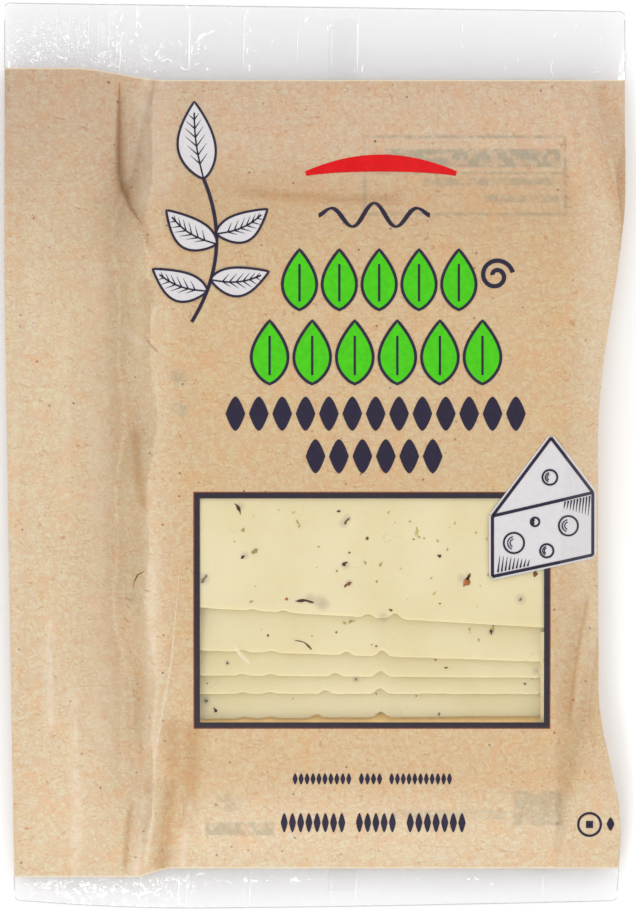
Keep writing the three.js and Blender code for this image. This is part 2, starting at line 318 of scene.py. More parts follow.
# Creases of the front film: path, height, half width, and how sharp the fold is
CREASES = (
    (VALLEY, -0.9, 3.6, 1.5),
    (VALLEY_HEAD, -0.7, 1.6, 1),
    (RIDGE, 0.7, 1.6, 1),
    # the trough right of the ridge, and the trough's bright far edge
    (((-37.5, -80), (-38, -92), (-39.4, -107)), -1.3, 3.2, 1.6),
    (((-31.6, -88), (-34.4, -97), (-35.2, -107)), 0.4, 1.1, 1),
    # the soft swelling left of it, and that one's dark edge
    (((-44.2, -92), (-45.6, -107)), 0.6, 2.4, 1.6),
    (((-46.8, -90), (-48.3, -98), (-48.8, -108)), -0.5, 1.2, 1.2),
    (RIGHT_FOLD, -0.7, 1.8, 1),
    # the bend over the upper ends of the slices
    (((-22, 68.2), (-8, 66.4), (8, 65.6), (24, 65.8)), -0.5, 1.8, 1.5),
    # soft streaks down the slack left side
    (((-67.8, -42), (-68, -56), (-67.8, -70)), 0.6, 1.4, 1.5),
    (((-61.4, -62), (-60.6, -80), (-61.2, -107)), 0.6, 1.8, 1.5),
    # short pulls that run in from the seals
    (((-24, -106), (-27, -97), (-31, -90)), 0.3, 2, 1.6),
    (((52, -106), (56, -95), (60, -85)), 0.3, 2.4, 1.6),
    (((63, 96), (66, 82), (69, 70)), -0.4, 2.6, 1.6),
)
# Painted shade: where the film's colour is darkened in its valleys, troughs and folds: path, half width
# and strength
PAINTED_SHADE_MARKS = (
    (VALLEY_HEAD, 2, 0.4), (VALLEY_FOOT, 3.8, 0.25),
    (((-46.2, 8), (-45.4, -4), (-43.6, -15)), 2.4, 0.9), (((-42, 45), (-42.2, 38)), 4, 0.5),
    (((-36.6, -64), (-36.6, -84), (-38.2, -96), (-39.8, -109)), 5, 0.8),
    (((-31, -66), (-32, -84), (-34.6, -98)), 5.4, 0.75),
    (((-46.9, -88), (-48.2, -98), (-48.8, -108)), 1.3, 0.8),
    (RIGHT_FOLD, 1.1, 0.9), (((69, -36), (66.8, -46), (65.2, -56), (63.8, -70)), 3, 0.4),
    (((-22, 68), (-8, 66.2), (8, 65.4), (24, 65.6)), 2.2, 0.7),
)
# Painted sheen: where the film's colour is lightened for the light its satin face catches on swellings and
# folds, and to lighten shade: path, half width and strength
PAINTED_SHEENS = (
    (((-68, -40), (-68.3, -56), (-67.6, -72)), 1.6, 1.3),
    (((-62, -58), (-61, -80), (-61.4, -110)), 2.8, 0.8),
    (((-64, 40), (-63.6, 12), (-64, -20)), 2, 0.4),
    (((-41.4, -12), (-41.6, -50), (-42.4, -84)), 2.8, 0.6),
    (((-43.5, -86), (-43.6, -96), (-46, -110)), 2.6, 0.7),
    (((-49.5, 33.5), (-43.5, 27.5)), 1.8, 0.75),
    (((-39.6, 100), (-39.4, 82), (-37.5, 66)), 6.5, 0.3),
    (((-43.6, 99), (-43.5, 84), (-43.6, 62)), 4.2, 0.75),
    (((-55.5, 62), (-55.5, 0), (-54, -90)), 7, 0.5),
    (((74, -38), (72, -52), (70, -66)), 3.6, 0.4),
    (((-31.6, -88), (-33.4, -97), (-34.2, -109)), 1.3, 0.7),
    (((-77, 20), (-77, -20), (-76.5, -60)), 1.8, 0.3), (((66, 4), (68, -20), (69, -32)), 3, 0.3),
)


def marked(x, y, marks):
    """How strongly a place lies on any of the marks, from 0 to 1."""
    strongest = 0
    for path, width, strength in marks:
        away, share = off_path(x, y, path)
        fade = smooth(0, 0.12, share) * smooth(1, 0.88, share)
        strongest = np.maximum(strongest, strength * fade * smooth(width, 0, away))
    return strongest


def relief(x, y):
    """The folds and soft unevenness of the front film, added to its main form."""
    total = 0.1 * ripple(x, y, 26, 3) + 0.035 * ripple(x, y, 7, 5)
    for path, height, width, sharpness in CREASES:
        away, share = off_path(x, y, path)
        fade = smooth(0, 0.18, share) * smooth(1, 0.9, share)
        total = total + height * fade * np.clip(1 - away / width, 0, 1) ** sharpness
    return total


def film_top(x, y):
    wander = 1.1 * np.sin(y / 13 + 0.6) + 0.7 * np.sin(y / 5.1)
    over_left = LEFT_SLOPE * np.maximum(0, STACK_LEFT + wander - x)
    over_right = RIGHT_SLOPE * np.maximum(0, x - stack_right(y))
    tent = stack_line(y) - over_left - over_right
    slack_share = np.clip((x - left_edge(y)) / (VALLEY_X - left_edge(y)), 0, 1)
    swell = SLACK_RISE * np.sin(np.pi * slack_share) * middle(y)
    return smooth_max(tent, END_MID + END_HALF + swell, BEND_SOFTNESS)


def film_bottom(x, y):
    lift = END_MID - END_HALF
    to_end = np.maximum(smooth(FLAT_TOP, PRINT_TOP, y), smooth(FLAT_BOTTOM, PRINT_BOTTOM, y))
    to_left = smooth(FLAT_LEFT, left_edge(y), x) * (lift + LEFT_FOLD_LIFT * middle(y))
    flat_right = stack_right(y) + FLAT_PAST_STACK
    to_right = smooth(flat_right, right_edge(y), x) * (lift + RIGHT_FOLD_LIFT * middle(y))
    return np.maximum(np.maximum(to_end * lift, to_left), to_right)


def drawn_in(x, y, surface, sign):
    """A film face drawn towards the fold at the pack's nearer side."""
    distance = np.clip(np.minimum(x - left_edge(y), right_edge(y) - x), 0, None)
    inside = 1 - np.clip(distance / FOLD_ROUNDING, 0, 1)
    opened = np.sqrt(1 - inside**2)
    lift = np.where(x < 0, LEFT_FOLD_LIFT, RIGHT_FOLD_LIFT)
    fold = END_MID + lift * middle(y)
    return mix(fold + sign * FOLD_HALF, surface, opened)


def front(x, y):
    """The height of the pack's front film."""
    calm = smooth(PRINT_TOP + 4, PRINT_TOP - 4, y) * smooth(PRINT_BOTTOM - 3, PRINT_BOTTOM + 3, y)
    return drawn_in(x, y, film_top(x, y) + relief(x, y) * calm, 1)


def back(x, y):
    """The height of the pack's back film, flat on the table under the stack."""
    return drawn_in(x, y, film_bottom(x, y), -1)


# Making and finishing meshes


def points_of(piece):
    flat = np.empty(len(piece.data.vertices) * 3)
    piece.data.vertices.foreach_get("co", flat)
    return flat.reshape(-1, 3)


def place_points(piece, x, y, z):
    """Puts the piece's points at places given in millimetres."""
    flat = np.stack([x, y, z], axis=1) * MM
    piece.data.vertices.foreach_set("co", flat.ravel())
    piece.data.update()


def only(piece):
    """Makes one piece the selected and active one."""
    bpy.ops.object.select_all(action="DESELECT")
    piece.select_set(True)
    bpy.context.view_layer.objects.active = piece


def grid(name, columns, rows):
    """A flat grid primitive, with its points' shares across and along."""
    bpy.ops.object.select_all(action="DESELECT")
    bpy.ops.mesh.primitive_grid_add(x_subdivisions=columns, y_subdivisions=rows, size=2)
    piece = bpy.context.object
    piece.name = name
    piece.data.name = name
    points = points_of(piece)
    return piece, (points[:, 0] + 1) / 2, (points[:, 1] + 1) / 2


def merge_close(piece):
    """Closes the seams of a piece that was rolled up from one grid."""
    only(piece)
    bpy.ops.object.mode_set(mode="EDIT")
    bpy.ops.mesh.select_all(action="SELECT")
    bpy.ops.mesh.remove_doubles(threshold=MERGE_DISTANCE * MM)
    bpy.ops.object.mode_set(mode="OBJECT")


def apply_modifier(piece, kind, **settings):
    only(piece)
    modifier = piece.modifiers.new(kind.lower(), kind)
    for name, value in settings.items():
        setattr(modifier, name, value)
    bpy.ops.object.modifier_apply(modifier=modifier.name)


def join(pieces, name):
    """Joins like pieces into one mesh."""
    bpy.ops.object.select_all(action="DESELECT")
    for piece in pieces:
        piece.select_set(True)
    bpy.context.view_layer.objects.active = pieces[0]
    if len(pieces) > 1:
        bpy.ops.object.join()
    joined = bpy.context.view_layer.objects.active
    joined.name = name
    joined.data.name = name
    return joined


def face_up(piece, up=1):
    """Turns a flat sheet's faces to the pack's front, or with up=-1 to its back."""
    if up * sum(face.normal.z * face.area for face in piece.data.polygons) < 0:
        piece.data.flip_normals()


def finish(piece, material, slot, *nodes, smooth_faces=True):
    """Gives a piece its finish and its place in the frame."""
    piece.data.materials.clear()
    piece.data.materials.append(material)
    if smooth_faces:
        only(piece)
        bpy.ops.object.shade_smooth_by_angle(angle=math.radians(40))
    if nodes:
        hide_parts(*nodes)
    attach(piece, "root")
    return piece


def keep_values(piece, name, values):
    """Stores one number at each point, for the material to read."""
    attribute = piece.data.attributes.new(name, "FLOAT", "POINT")
    attribute.data.foreach_set("value", np.asarray(values, dtype=float))


def tube(name, spread, rows, place):
    """A film tube, unrolled on one grid: its front from left to right and then its back."""
    front_columns = spread[-1][0]
    columns = front_columns + BACK_COLUMNS
    piece, u, v = grid(name, columns, rows)
    column = u * columns
    at_front = column <= front_columns + 0.5
    front_x = np.interp(column, [mark[0] for mark in spread], [mark[1] for mark in spread])
    front_share = (front_x + HALF_WIDTH) / (2 * HALF_WIDTH)
    share = np.where(at_front, front_share, (columns - column) / BACK_COLUMNS)
    place_points(piece, *place(np.clip(share, 0, 1), v, at_front))
    return piece, v


def ruled(name, low, high, steps, across, surface, lift, up=1):
    """A sheet between two edges, each a function of a share from 0 to 1, laid on a surface."""
    piece, s, t = grid(name, steps, across)
    (ax, ay), (bx, by) = low(s), high(s)
    x = mix(ax, bx, t)
    y = mix(ay, by, t)
    place_points(piece, x, y, surface(x, y) + up * lift)
    face_up(piece, up)
    return piece


def stroke(name, path, width, steps, surface, lift, up=1):
    """A drawn line: a sheet of one width, or of a width that changes along it, on a path."""
    step = 0.5 / steps

    def side(sign):
        def edge(s):
            x, y = path(s)
            x0, y0 = path(s - step)
            x1, y1 = path(s + step)
            length = np.hypot(x1 - x0, y1 - y0)
            half = sign * (width(s) if callable(width) else width) / 2
            return x - half * (y1 - y0) / length, y + half * (x1 - x0) / length

        return edge

    return ruled(name, side(-1), side(1), steps, 2, surface, lift, up)


def bar(name, left, bottom, right, top, surface, lift, up=1, step=1.4):
    """A filled rectangle on a surface."""
    return ruled(
        name,
        lambda s: (mix(left, right, s), np.full_like(s, bottom)),
        lambda s: (mix(left, right, s), np.full_like(s, top)),
        max(2, round((right - left) / step)),
        max(2, round((top - bottom) / step)),
        surface,
        lift,
        up,
    )


def printed(pieces, name, material):
    """Joins printed shapes into one thin layer of ink."""
    layer = join(pieces, name)
    apply_modifier(layer, "SOLIDIFY", thickness=INK_THICKNESS * MM, offset=-1)
    return finish(layer, material, "printed_film", smooth_faces=False)


# Materials


class Nodes:
    """A material's nodes, added one by one."""

    def __init__(self, name):
        self.material = bpy.data.materials.new(name)
        self.material.use_nodes = True
        self.tree = self.material.node_tree
        self.shader = self.tree.nodes["Principled BSDF"]
        coordinates = self.tree.nodes.new("ShaderNodeTexCoord")
        self.place = coordinates.outputs["Object"]
        self.x, self.y, self.z = self.split(self.place)

    def flatten(self, share):
        """Lowers the patterns' change with height, so that steep film isn't streaked."""
        node = self.tree.nodes.new("ShaderNodeVectorMath")
        node.operation = "MULTIPLY"
        self.put(node.inputs[0], self.place)
        node.inputs[1].default_value = (1, 1, share)
        self.place = node.outputs[0]

    def put(self, socket, value):
        if isinstance(value, bpy.types.NodeSocket):
            self.tree.links.new(value, socket)
        elif isinstance(value, tuple) and len(value) == 3 and socket.type == "RGBA":
            socket.default_value = (*value, 1)
        else:
            socket.default_value = value

    def shade(self, **values):
        for name, value in values.items():
            self.put(self.shader.inputs[name.replace("_", " ").title().replace("Ior", "IOR")], value)

    def stretched(self, turn, length):
        """The place turned and drawn out, so that a pattern in it runs one way."""
        node = self.tree.nodes.new("ShaderNodeMapping")
        node.vector_type = "TEXTURE"
        self.put(node.inputs["Vector"], self.place)
        node.inputs["Rotation"].default_value = (0, 0, math.radians(turn))
        node.inputs["Scale"].default_value = (length, 1, 1)
        return node.outputs[0]

    def noise(self, scale, detail=2, distortion=0, place=None):
        node = self.tree.nodes.new("ShaderNodeTexNoise")
        self.put(node.inputs["Vector"], place or self.place)
        for name, value in (("Scale", scale), ("Detail", detail), ("Distortion", distortion)):
            self.put(node.inputs[name], value)
        return node.outputs["Fac"]

    def cells(self, scale):
        node = self.tree.nodes.new("ShaderNodeTexVoronoi")
        self.put(node.inputs["Vector"], self.place)
        self.put(node.inputs["Scale"], scale)
        return node.outputs["Distance"], node.outputs["Color"]

    def math(self, operation, a, b=0.0, c=0.0):
        node = self.tree.nodes.new("ShaderNodeMath")
        node.operation = operation
        for socket, value in zip(node.inputs, (a, b, c)):
            self.put(socket, value)
        return node.outputs[0]

    def range(self, value, low, high, to_low=0.0, to_high=1.0):
        node = self.tree.nodes.new("ShaderNodeMapRange")
        node.interpolation_type = "SMOOTHSTEP"
        bounds = (("From Min", low), ("From Max", high), ("To Min", to_low), ("To Max", to_high))
        for name, number in (("Value", value), *bounds):
            self.put(node.inputs[name], number)
        return node.outputs[0]

    def blend(self, share, a, b, kind="MIX"):
        node = self.tree.nodes.new("ShaderNodeMix")
        node.data_type = "RGBA"
        node.blend_type = kind
        self.put(node.inputs[0], share)
        self.put(node.inputs[6], a)
        self.put(node.inputs[7], b)
        return node.outputs[2]

    def split(self, vector):
        node = self.tree.nodes.new("ShaderNodeSeparateXYZ")
        self.put(node.inputs[0], vector)
        return node.outputs

    def bump(self, height, distance, strength=1.0, normal=None):
        node = self.tree.nodes.new("ShaderNodeBump")
        self.put(node.inputs["Height"], height)
        self.put(node.inputs["Distance"], distance * MM)
        self.put(node.inputs["Strength"], strength)
        if normal:
            self.put(node.inputs["Normal"], normal)
        return node.outputs[0]

    def value(self, name):
        """A number stored at the piece's points."""
        node = self.tree.nodes.new("ShaderNodeAttribute")
        node.attribute_name = name
        return node.outputs["Fac"]

    def times(self, first, *others):
        for other in others:
            first = self.math("MULTIPLY", first, other)
        return first

    def soft_bar(self, left, bottom, right, top, edge):
        """A rectangle in millimetres with soft sides."""
        sides = []
        for place, low, high in ((self.x, left, right), (self.y, bottom, top)):
            sides.append(self.range(place, (low - edge) * MM, (low + edge) * MM))
            sides.append(self.range(place, (high + edge) * MM, (high - edge) * MM))
        return self.times(*sides)

    def spot(self, x, y, radius):
        """A soft round spot, in millimetres."""
        node = self.tree.nodes.new("ShaderNodeVectorMath")
        node.operation = "DISTANCE"
        flat = self.tree.nodes.new("ShaderNodeCombineXYZ")
        self.put(flat.inputs[0], self.x)
        self.put(flat.inputs[1], self.y)
        self.put(node.inputs[0], flat.outputs[0])
        node.inputs[1].default_value = (x * MM, y * MM, 0)
        return self.range(node.outputs["Value"], radius * MM, radius * 0.2 * MM)

    def hairs(self, scale, width, patch_scale, patches, turn=0, length=1):
        """Thin bent hairs: the level lines of one noise, broken into lengths by another."""
        level = self.noise(scale, 0.6, 0.25, place=self.stretched(turn, length))
        off = self.math("ABSOLUTE", self.math("SUBTRACT", level, 0.5))
        line = self.range(off, width, width * 0.35)
        here = self.range(self.noise(patch_scale, 1), patches, patches + 0.06)
        return self.math("MULTIPLY", line, here)


# Hairs in the kraft print: scale, width, turn, how broken up, strength and tone
HAIRS = (
    (820, 0.046, 25, 0.4, 0.5, seen(230, 220, 194)),
    (880, 0.046, 85, 0.4, 0.5, seen(229, 218, 186)),
    (800, 0.046, 145, 0.4, 0.5, seen(228, 216, 180)),
    (860, 0.046, 55, 0.42, 0.5, seen(228, 215, 172)),
    (780, 0.042, 115, 0.42, 0.44, seen(218, 173, 128)),
    (740, 0.042, 5, 0.42, 0.44, seen(216, 168, 122)),
    (420, 0.019, 160, 0.57, 0.45, seen(188, 126, 90)),
)
HAIR_PATCHES = 700
HAIR_LENGTH = 3.2
# Specks in it: scale, share of the cells left bare, radius and the two tones
SPECKS = (
    (240, 0.6, 0.1, (seen(128, 118, 118), seen(158, 84, 60))),
    (115, 0.7, 0.055, (seen(70, 62, 64), seen(150, 52, 44))),
)
# What shows through the film from the print on its back: left, bottom, right, top, and strength
GHOST_BARS = (
    (12.4, 61.4, 64.6, 62.2, 0.7), (12.4, 81.4, 64.6, 82.2, 0.8), (12.4, 72.1, 64.6, 72.7, 0.7),
    (12.4, 61.4, 13.2, 82.2, 0.7), (63.8, 61.4, 64.6, 82.2, 0.8),
    (18, 73.9, 63, 78.6, 0.9), (28, 69.2, 62.5, 71.2, 0.6), (43.5, 64.8, 62.5, 66.8, 0.6),
    (-28, -97.5, -10.5, -94.2, 0.6), (20, -93.4, 49, -91, 0.35), (51, -95, 63.6, -86, 0.5),
)
GHOST_SPOTS = ((-22, -89, 4.5, 0.4), (-34.8, 20, 3, 0.7), (-34.4, 12, 3, 0.6), (-47, -36.6, 2, 0.6))


def kraft_material(colours):
    """Brown paper-look print under a satin film: mottled, with curled hairs and small specks, with painted
    shade and painted sheen mixed into its colour.
    """
    n = Nodes("kraft_print")
    n.flatten(0.15)
    base = n.blend(n.range(n.noise(700, 3, 0.6), 0.3, 0.7), colours.kraft_deep[:], colours.kraft_pale[:])
    base = n.blend(n.range(n.noise(45, 3), 0.3, 0.72, 0, 0.5), base, colours.kraft[:])
    blush = n.range(n.noise(150, 3), 0.48, 0.68, 0, 0.7)
    base = n.blend(blush, base, seen(230, 190, 148))
    straw = n.range(n.noise(190, 3), 0.54, 0.74, 0, 0.5)
    base = n.blend(straw, base, seen(228, 210, 166))
    for scale, width, turn, patches, strength, tone in HAIRS:
        hair = n.hairs(scale, width, HAIR_PATCHES, patches, turn, HAIR_LENGTH)
        base = n.blend(n.math("MULTIPLY", hair, strength), base, tone)
    for scale, share, radius, tones in SPECKS:
        away, tint = n.cells(scale)
        red, green, _ = n.split(tint)
        speck = n.times(n.range(away, radius, radius * 0.5), n.range(red, share, share + 0.04), 0.75)
        base = n.blend(speck, base, n.blend(n.range(green, 0.45, 0.55), *tones))
    over_cheese = n.soft_bar(STACK_LEFT + 4, -88, STACK_RIGHT + 8, 74, 7)
    base = n.blend(over_cheese, base, (0.9, 0.83, 0.725), "MULTIPLY")
    # Painted shade: the print darkened towards the top end, where less light falls, and a little more at
    # the top left
    top = n.range(n.y, 0.03, 0.095)
    base = n.blend(top, base, (0.86, 0.8, 0.81), "MULTIPLY")
    base = n.blend(n.times(top, n.range(n.x, -0.02, -0.055)), base, (0.93, 0.93, 0.93), "MULTIPLY")
    # Painted shade: the print darkened along the film's valleys, troughs and folds
    base = n.blend(n.value("painted_shade"), base, (0.8, 0.68, 0.54), "MULTIPLY")
    # Painted sheen: the print lightened where the film's satin face catches the light, broken up by a
    # noise
    painted_sheen = n.times(n.value("painted_sheen"), n.range(n.noise(330, 2), 0.35, 0.6, 0.4, 1), 0.6)
    base = n.blend(painted_sheen, base, seen(246, 229, 206))
    blots = n.range(n.noise(420, 2), 0.4, 0.55, 0.35, 1)
    ghost = 0.0
    for left, bottom, right, top, strength in GHOST_BARS:
        ghost = n.math("MAXIMUM", ghost, n.times(n.soft_bar(left, bottom, right, top, 0.35), strength))
    for x, y, radius, strength in GHOST_SPOTS:
        ghost = n.math("MAXIMUM", ghost, n.times(n.spot(x, y, radius), strength))
    at_front = n.range(n.z, 0.0035, 0.0045)
    base = n.blend(n.times(ghost, blots, at_front, 0.62), base, seen(140, 140, 122))
    rim = n.times(n.range(n.value("rim"), 0.5, 0.15), n.range(n.value("rim"), -0.1, 0.02), 0.55)
    base = n.blend(rim, base, seen(250, 240, 212))
    n.shade(base_color=base, roughness=0.5, specular_ior_level=0.28)
    n.shade(coat_weight=0.15, coat_roughness=0.2)
    n.shade(normal=n.bump(n.noise(900, 2), 0.02, 0.4))
    return n.material


# Clear films: opacity, tint, roughness, how mirror-like, and how deeply crumpled
CLEAR_FILMS = {
    "window_clear": (0.035, (0.9, 0.9, 0.92), 0.1, 0.5, 0),
    "end_clear": (0.25, (0.9, 0.885, 0.9), 0.12, 0.4, 0.7),
    "seam_clear": (0.08, (0.7, 0.69, 0.72), 0.2, 0.3, 0),
    # painted highlights: white strokes on the clear ends' folds and wrinkles
    "painted_glint": (0.62, (1, 1, 1), 0.3, 0, 0),
    "cut_edge": (0.55, (0.34, 0.34, 0.35), 0.3, 0, 0),
}


def clear_material(name):
    """Clear film: a faint mirror over what lies behind it."""
    alpha, tint, roughness, metallic, crumple = CLEAR_FILMS[name]
    n = Nodes(name)
    n.shade(base_color=tint, metallic=metallic, roughness=roughness, alpha=alpha)
    normal = n.bump(n.noise(300, 3), 0.02, 0.6)
    if crumple:
        away, _ = n.cells(330)
        fine, _ = n.cells(760)
        creased = n.times(n.math("ADD", away, n.math("MULTIPLY", fine, 0.4)), n.value("crumple"))
        normal = n.bump(creased, crumple, 1, normal)
    n.shade(normal=normal)
    return n.material


def ink_material(name, colour, roughness=0.36, alpha=1.0, uneven=0.06):
    """Printed ink, a little uneven in tone, under the film's satin face; the painted shade and highlight
    strokes along the folds use it too.
    """
    n = Nodes(name)
    darker = tuple(c * (1 - uneven * 2) for c in colour[:3])
    tone = n.range(n.noise(650, 2), 0.3, 0.7)
    n.shade(base_color=n.blend(tone, darker, tuple(colour[:3])), roughness=roughness, alpha=alpha)
    n.shade(specular_ior_level=0.14)
    n.shade(normal=n.bump(n.noise(900, 2), 0.02, 0.4))
    return n.material


def lap_material(name, tone, glow):
    """The film inside, with a painted glow that stands in for the light coming through the film above it.
    """
    material = ink_material(name, tone, uneven=0.04)
    shader = material.node_tree.nodes["Principled BSDF"]
    shader.inputs["Emission Color"].default_value = (*tone, 1)
    shader.inputs["Emission Strength"].default_value = glow
    return material


# Soft grey stains where herb lies buried in the top slices: x, y and radius
STAINS = (
    (1.2, -37.4, 2.6), (-1.2, -36.6, 2), (2.4, -38.2, 2.2), (7.4, -17.4, 1.8), (8.4, -16, 1.6),
    (-28.4, -31.6, 2.2), (52.7, -36.8, 2), (17.6, -41.4, 1.8), (-19, -13, 1.5), (8, -28.2, 1.6),
    (37.6, -31.4, 1.8), (-17.9, -25.6, 1.6), (-27.9, -63, 1.7), (45.2, -45.2, 1.3), (-22.4, -53.2, 1.1),
    (8.9, -32.6, 1.3), (10.6, -57.4, 1.4), (56.6, -55.2, 1.3),
)


def cheese_material(colours):
    """Pale pressed cheese: soft mottling, fine curd cracks and small buried stains."""
    n = Nodes("pale_cheese")
    base = n.blend(n.range(n.noise(60, 3), 0.3, 0.7), seen(235, 220, 172), seen(241, 228, 186))
    base = n.blend(n.range(n.noise(500, 2), 0.35, 0.7, 0, 0.35), base, colours.cheese[:])
    crack = n.hairs(210, 0.014, 85, 0.64)
    base = n.blend(n.math("MULTIPLY", crack, 0.35), base, seen(214, 200, 140))
    away, tint = n.cells(95)
    red, green, _ = n.split(tint)
    stain = n.times(n.range(away, 0.12, 0.02), n.range(red, 0.8, 0.84), 0.4)
    stain_tone = n.blend(n.range(green, 0.45, 0.55), seen(186, 178, 150), seen(196, 180, 122))
    base = n.blend(stain, base, stain_tone)
    for x, y, radius in STAINS:
        base = n.blend(n.times(n.spot(x, y, radius), 0.42), base, seen(184, 172, 146))
    n.shade(base_color=base, roughness=0.46, specular_ior_level=0.4)
    n.shade(subsurface_weight=0.45, subsurface_radius=(1.0, 0.75, 0.3), subsurface_scale=0.002)
    dents = n.bump(n.math("SUBTRACT", 1.0, crack), 0.1, 0.5)
    n.shade(normal=n.bump(n.noise(700, 3), 0.03, 0.5, dents))
    return n.material


def floor_material():
    n = Nodes("studio_floor")
    tone = n.blend(n.range(n.noise(9, 2), 0.3, 0.7), (0.94, 0.94, 0.94), (0.96, 0.96, 0.96))
    n.shade(base_color=tone, roughness=0.9, specular_ior_level=0.1)
    return n.material


# What a user can change


def colour_field(name, description, *tone):
    """A colour that a user can change, set out as the 0 to 255 tone that it looks like."""
    return bpy.props.FloatVectorProperty(
        name=name, description=description, subtype="COLOR", size=3, min=0, max=1, default=seen(*tone),
    )


class PackColours(bpy.types.PropertyGroup):
    kraft: colour_field("Kraft", "Middle tone of the brown print", 224, 199, 166)
    kraft_pale: colour_field("Kraft, pale", "Lightest tone of the brown print's mottling", 227, 207, 176)
    kraft_deep: colour_field("Kraft, deep", "Darkest tone of the brown print's mottling", 222, 191, 156)
    cheese: colour_field("Cheese", "Main tone of the slices", 239, 225, 180)
    navy: colour_field("Navy ink", "Lines, window frame and lower rows", 50, 45, 65)
    green: colour_field("Green ink", "The two rows of leaf ornaments", 80, 212, 28)
    red: colour_field("Red ink", "The small arch at the top", 232, 4, 14)
    white: colour_field("White ink", "Leaves of the sprig and the wedge", 228, 224, 226)


class PackSizes(bpy.types.PropertyGroup):
    film: bpy.props.FloatProperty(
        name="Film", description="Thickness of the film as modelled", default=0.15 * MM,
        min=0.02 * MM, max=0.6 * MM, unit="LENGTH", precision=5,
    )
    edge_round: bpy.props.FloatProperty(
        name="Slice edge", description="Rounding of the slices' edges", default=0.28 * MM,
        min=0, max=0.9 * MM, unit="LENGTH", precision=5,
    )
    lens: bpy.props.FloatProperty(
        name="Lens", description="Focal length of the camera, in millimetres", default=800,
        min=50, max=1200,
    )


# Film


def film_sheets(sizes):
    """The printed tube of film, with its window cut out of the front."""
    rows = round((PRINT_TOP - PRINT_BOTTOM) / FILM_STEP)

    def place(share, v, at_front):
        near_x = mix(-HALF_WIDTH, HALF_WIDTH, share)
        y = mix(print_bottom(near_x), print_top(near_x), v)
        x = mix(left_edge(y), right_edge(y), share)
        return x, y, np.where(at_front, front(x, y), back(x, y))

    pouch, v = tube("printed_film", FRONT_COLUMNS, rows, place)
    keep_values(pouch, "rim", (PRINT_TOP - PRINT_BOTTOM) * np.minimum(v, 1 - v))
    x, y, z = points_of(pouch).T / MM
    # Painted shade and painted sheen, stored at the points for the print's colour
    for name, marks in (("painted_shade", PAINTED_SHADE_MARKS), ("painted_sheen", PAINTED_SHEENS)):
        keep_values(pouch, name, marked(x, y, marks) * (z > END_MID))
    merge_close(pouch)
    cut_window(pouch)
    apply_modifier(pouch, "SOLIDIFY", thickness=sizes.film, offset=-1)
    return pouch


def window_edges():
    inset = FRAME_BAR / 2
    return (FRAME_LEFT + inset, FRAME_BOTTOM + inset, FRAME_RIGHT - inset, FRAME_TOP - inset)


def cut_window(pouch):
    """Bisects the front film along the window's four sides and takes out what lies inside."""
    left, bottom, right, top = window_edges()
    only(pouch)
    bpy.ops.object.mode_set(mode="EDIT")
    for place, normal in (
        ((left, 0, 0), (1, 0, 0)),
        ((right, 0, 0), (1, 0, 0)),
        ((0, bottom, 0), (0, 1, 0)),
        ((0, top, 0), (0, 1, 0)),
    ):
        bpy.ops.mesh.select_all(action="SELECT")
        bpy.ops.mesh.bisect(plane_co=[c * MM for c in place], plane_no=normal)
    bpy.ops.mesh.select_all(action="DESELECT")
    bpy.ops.object.mode_set(mode="OBJECT")
    bpy.context.tool_settings.mesh_select_mode = (False, False, True)
    for face in pouch.data.polygons:
        x, y, z = (c / MM for c in face.center)
        face.select = left < x < right and bottom < y < top and z > PLATEAU / 3
    bpy.ops.object.mode_set(mode="EDIT")
    bpy.ops.mesh.delete(type="FACE")
    bpy.ops.object.mode_set(mode="OBJECT")


def window_sheet():
    left, bottom, right, top = window_edges()
    return bar("window_sheet", left, bottom, right, top, front, 0, step=0.6)


# Pleats across a clear end: x, height and half width
PLEATS = (
    (-51.5, 0.35, 0.7), (-46.5, -0.3, 0.9), (-32.6, 0.5, 0.5), (-17.4, 0.4, 0.4),
    (3.4, 0.3, 0.35), (10.6, 0.3, 0.35), (35, 0.15, 0.5), (57, 0.2, 0.6),
)


def band_relief(x, share, seed):
    """Pleats and crumpled wrinkles of a clear end, strongest beside the slack left side."""
    total = 0.05 * ripple(x, share * 20, 9, seed)
    for at, height, width in PLEATS:
        away = np.abs(x - at - 0.5 * np.sin(share * 5 + at))
        total = total + height * np.clip(1 - away / width, 0, 1) ** 1.5
    crumple = 1 - 2 * np.abs(ripple(x, share * 18, 5.5, seed + 1))
    left_side = smooth(-20, -38, x) * smooth(-78, -70, x)
    there = smooth(0, 0.15, share) * smooth(0.75, 0.4, share)
    total = total + 0.34 * np.clip(crumple, 0, 1) * there * (0.12 + left_side)
    lines = np.sin(share * 60 + 0.3 * np.sin(x / 7))
    return total + 0.02 * lines * smooth(0.1, 0.2, share)


def band_wave(x):
    """The slow wave in height that runs across the clear ends."""
    return BAND_WAVE * np.sin(2 * np.pi * x / BAND_WAVE_LENGTH)


def band_half(share):
    """Half the height of a clear end, at a share of the way out to its flat seal."""
    return mix(END_HALF, SEALED_HALF, smooth(0, BAND_CLOSED_AT, share))


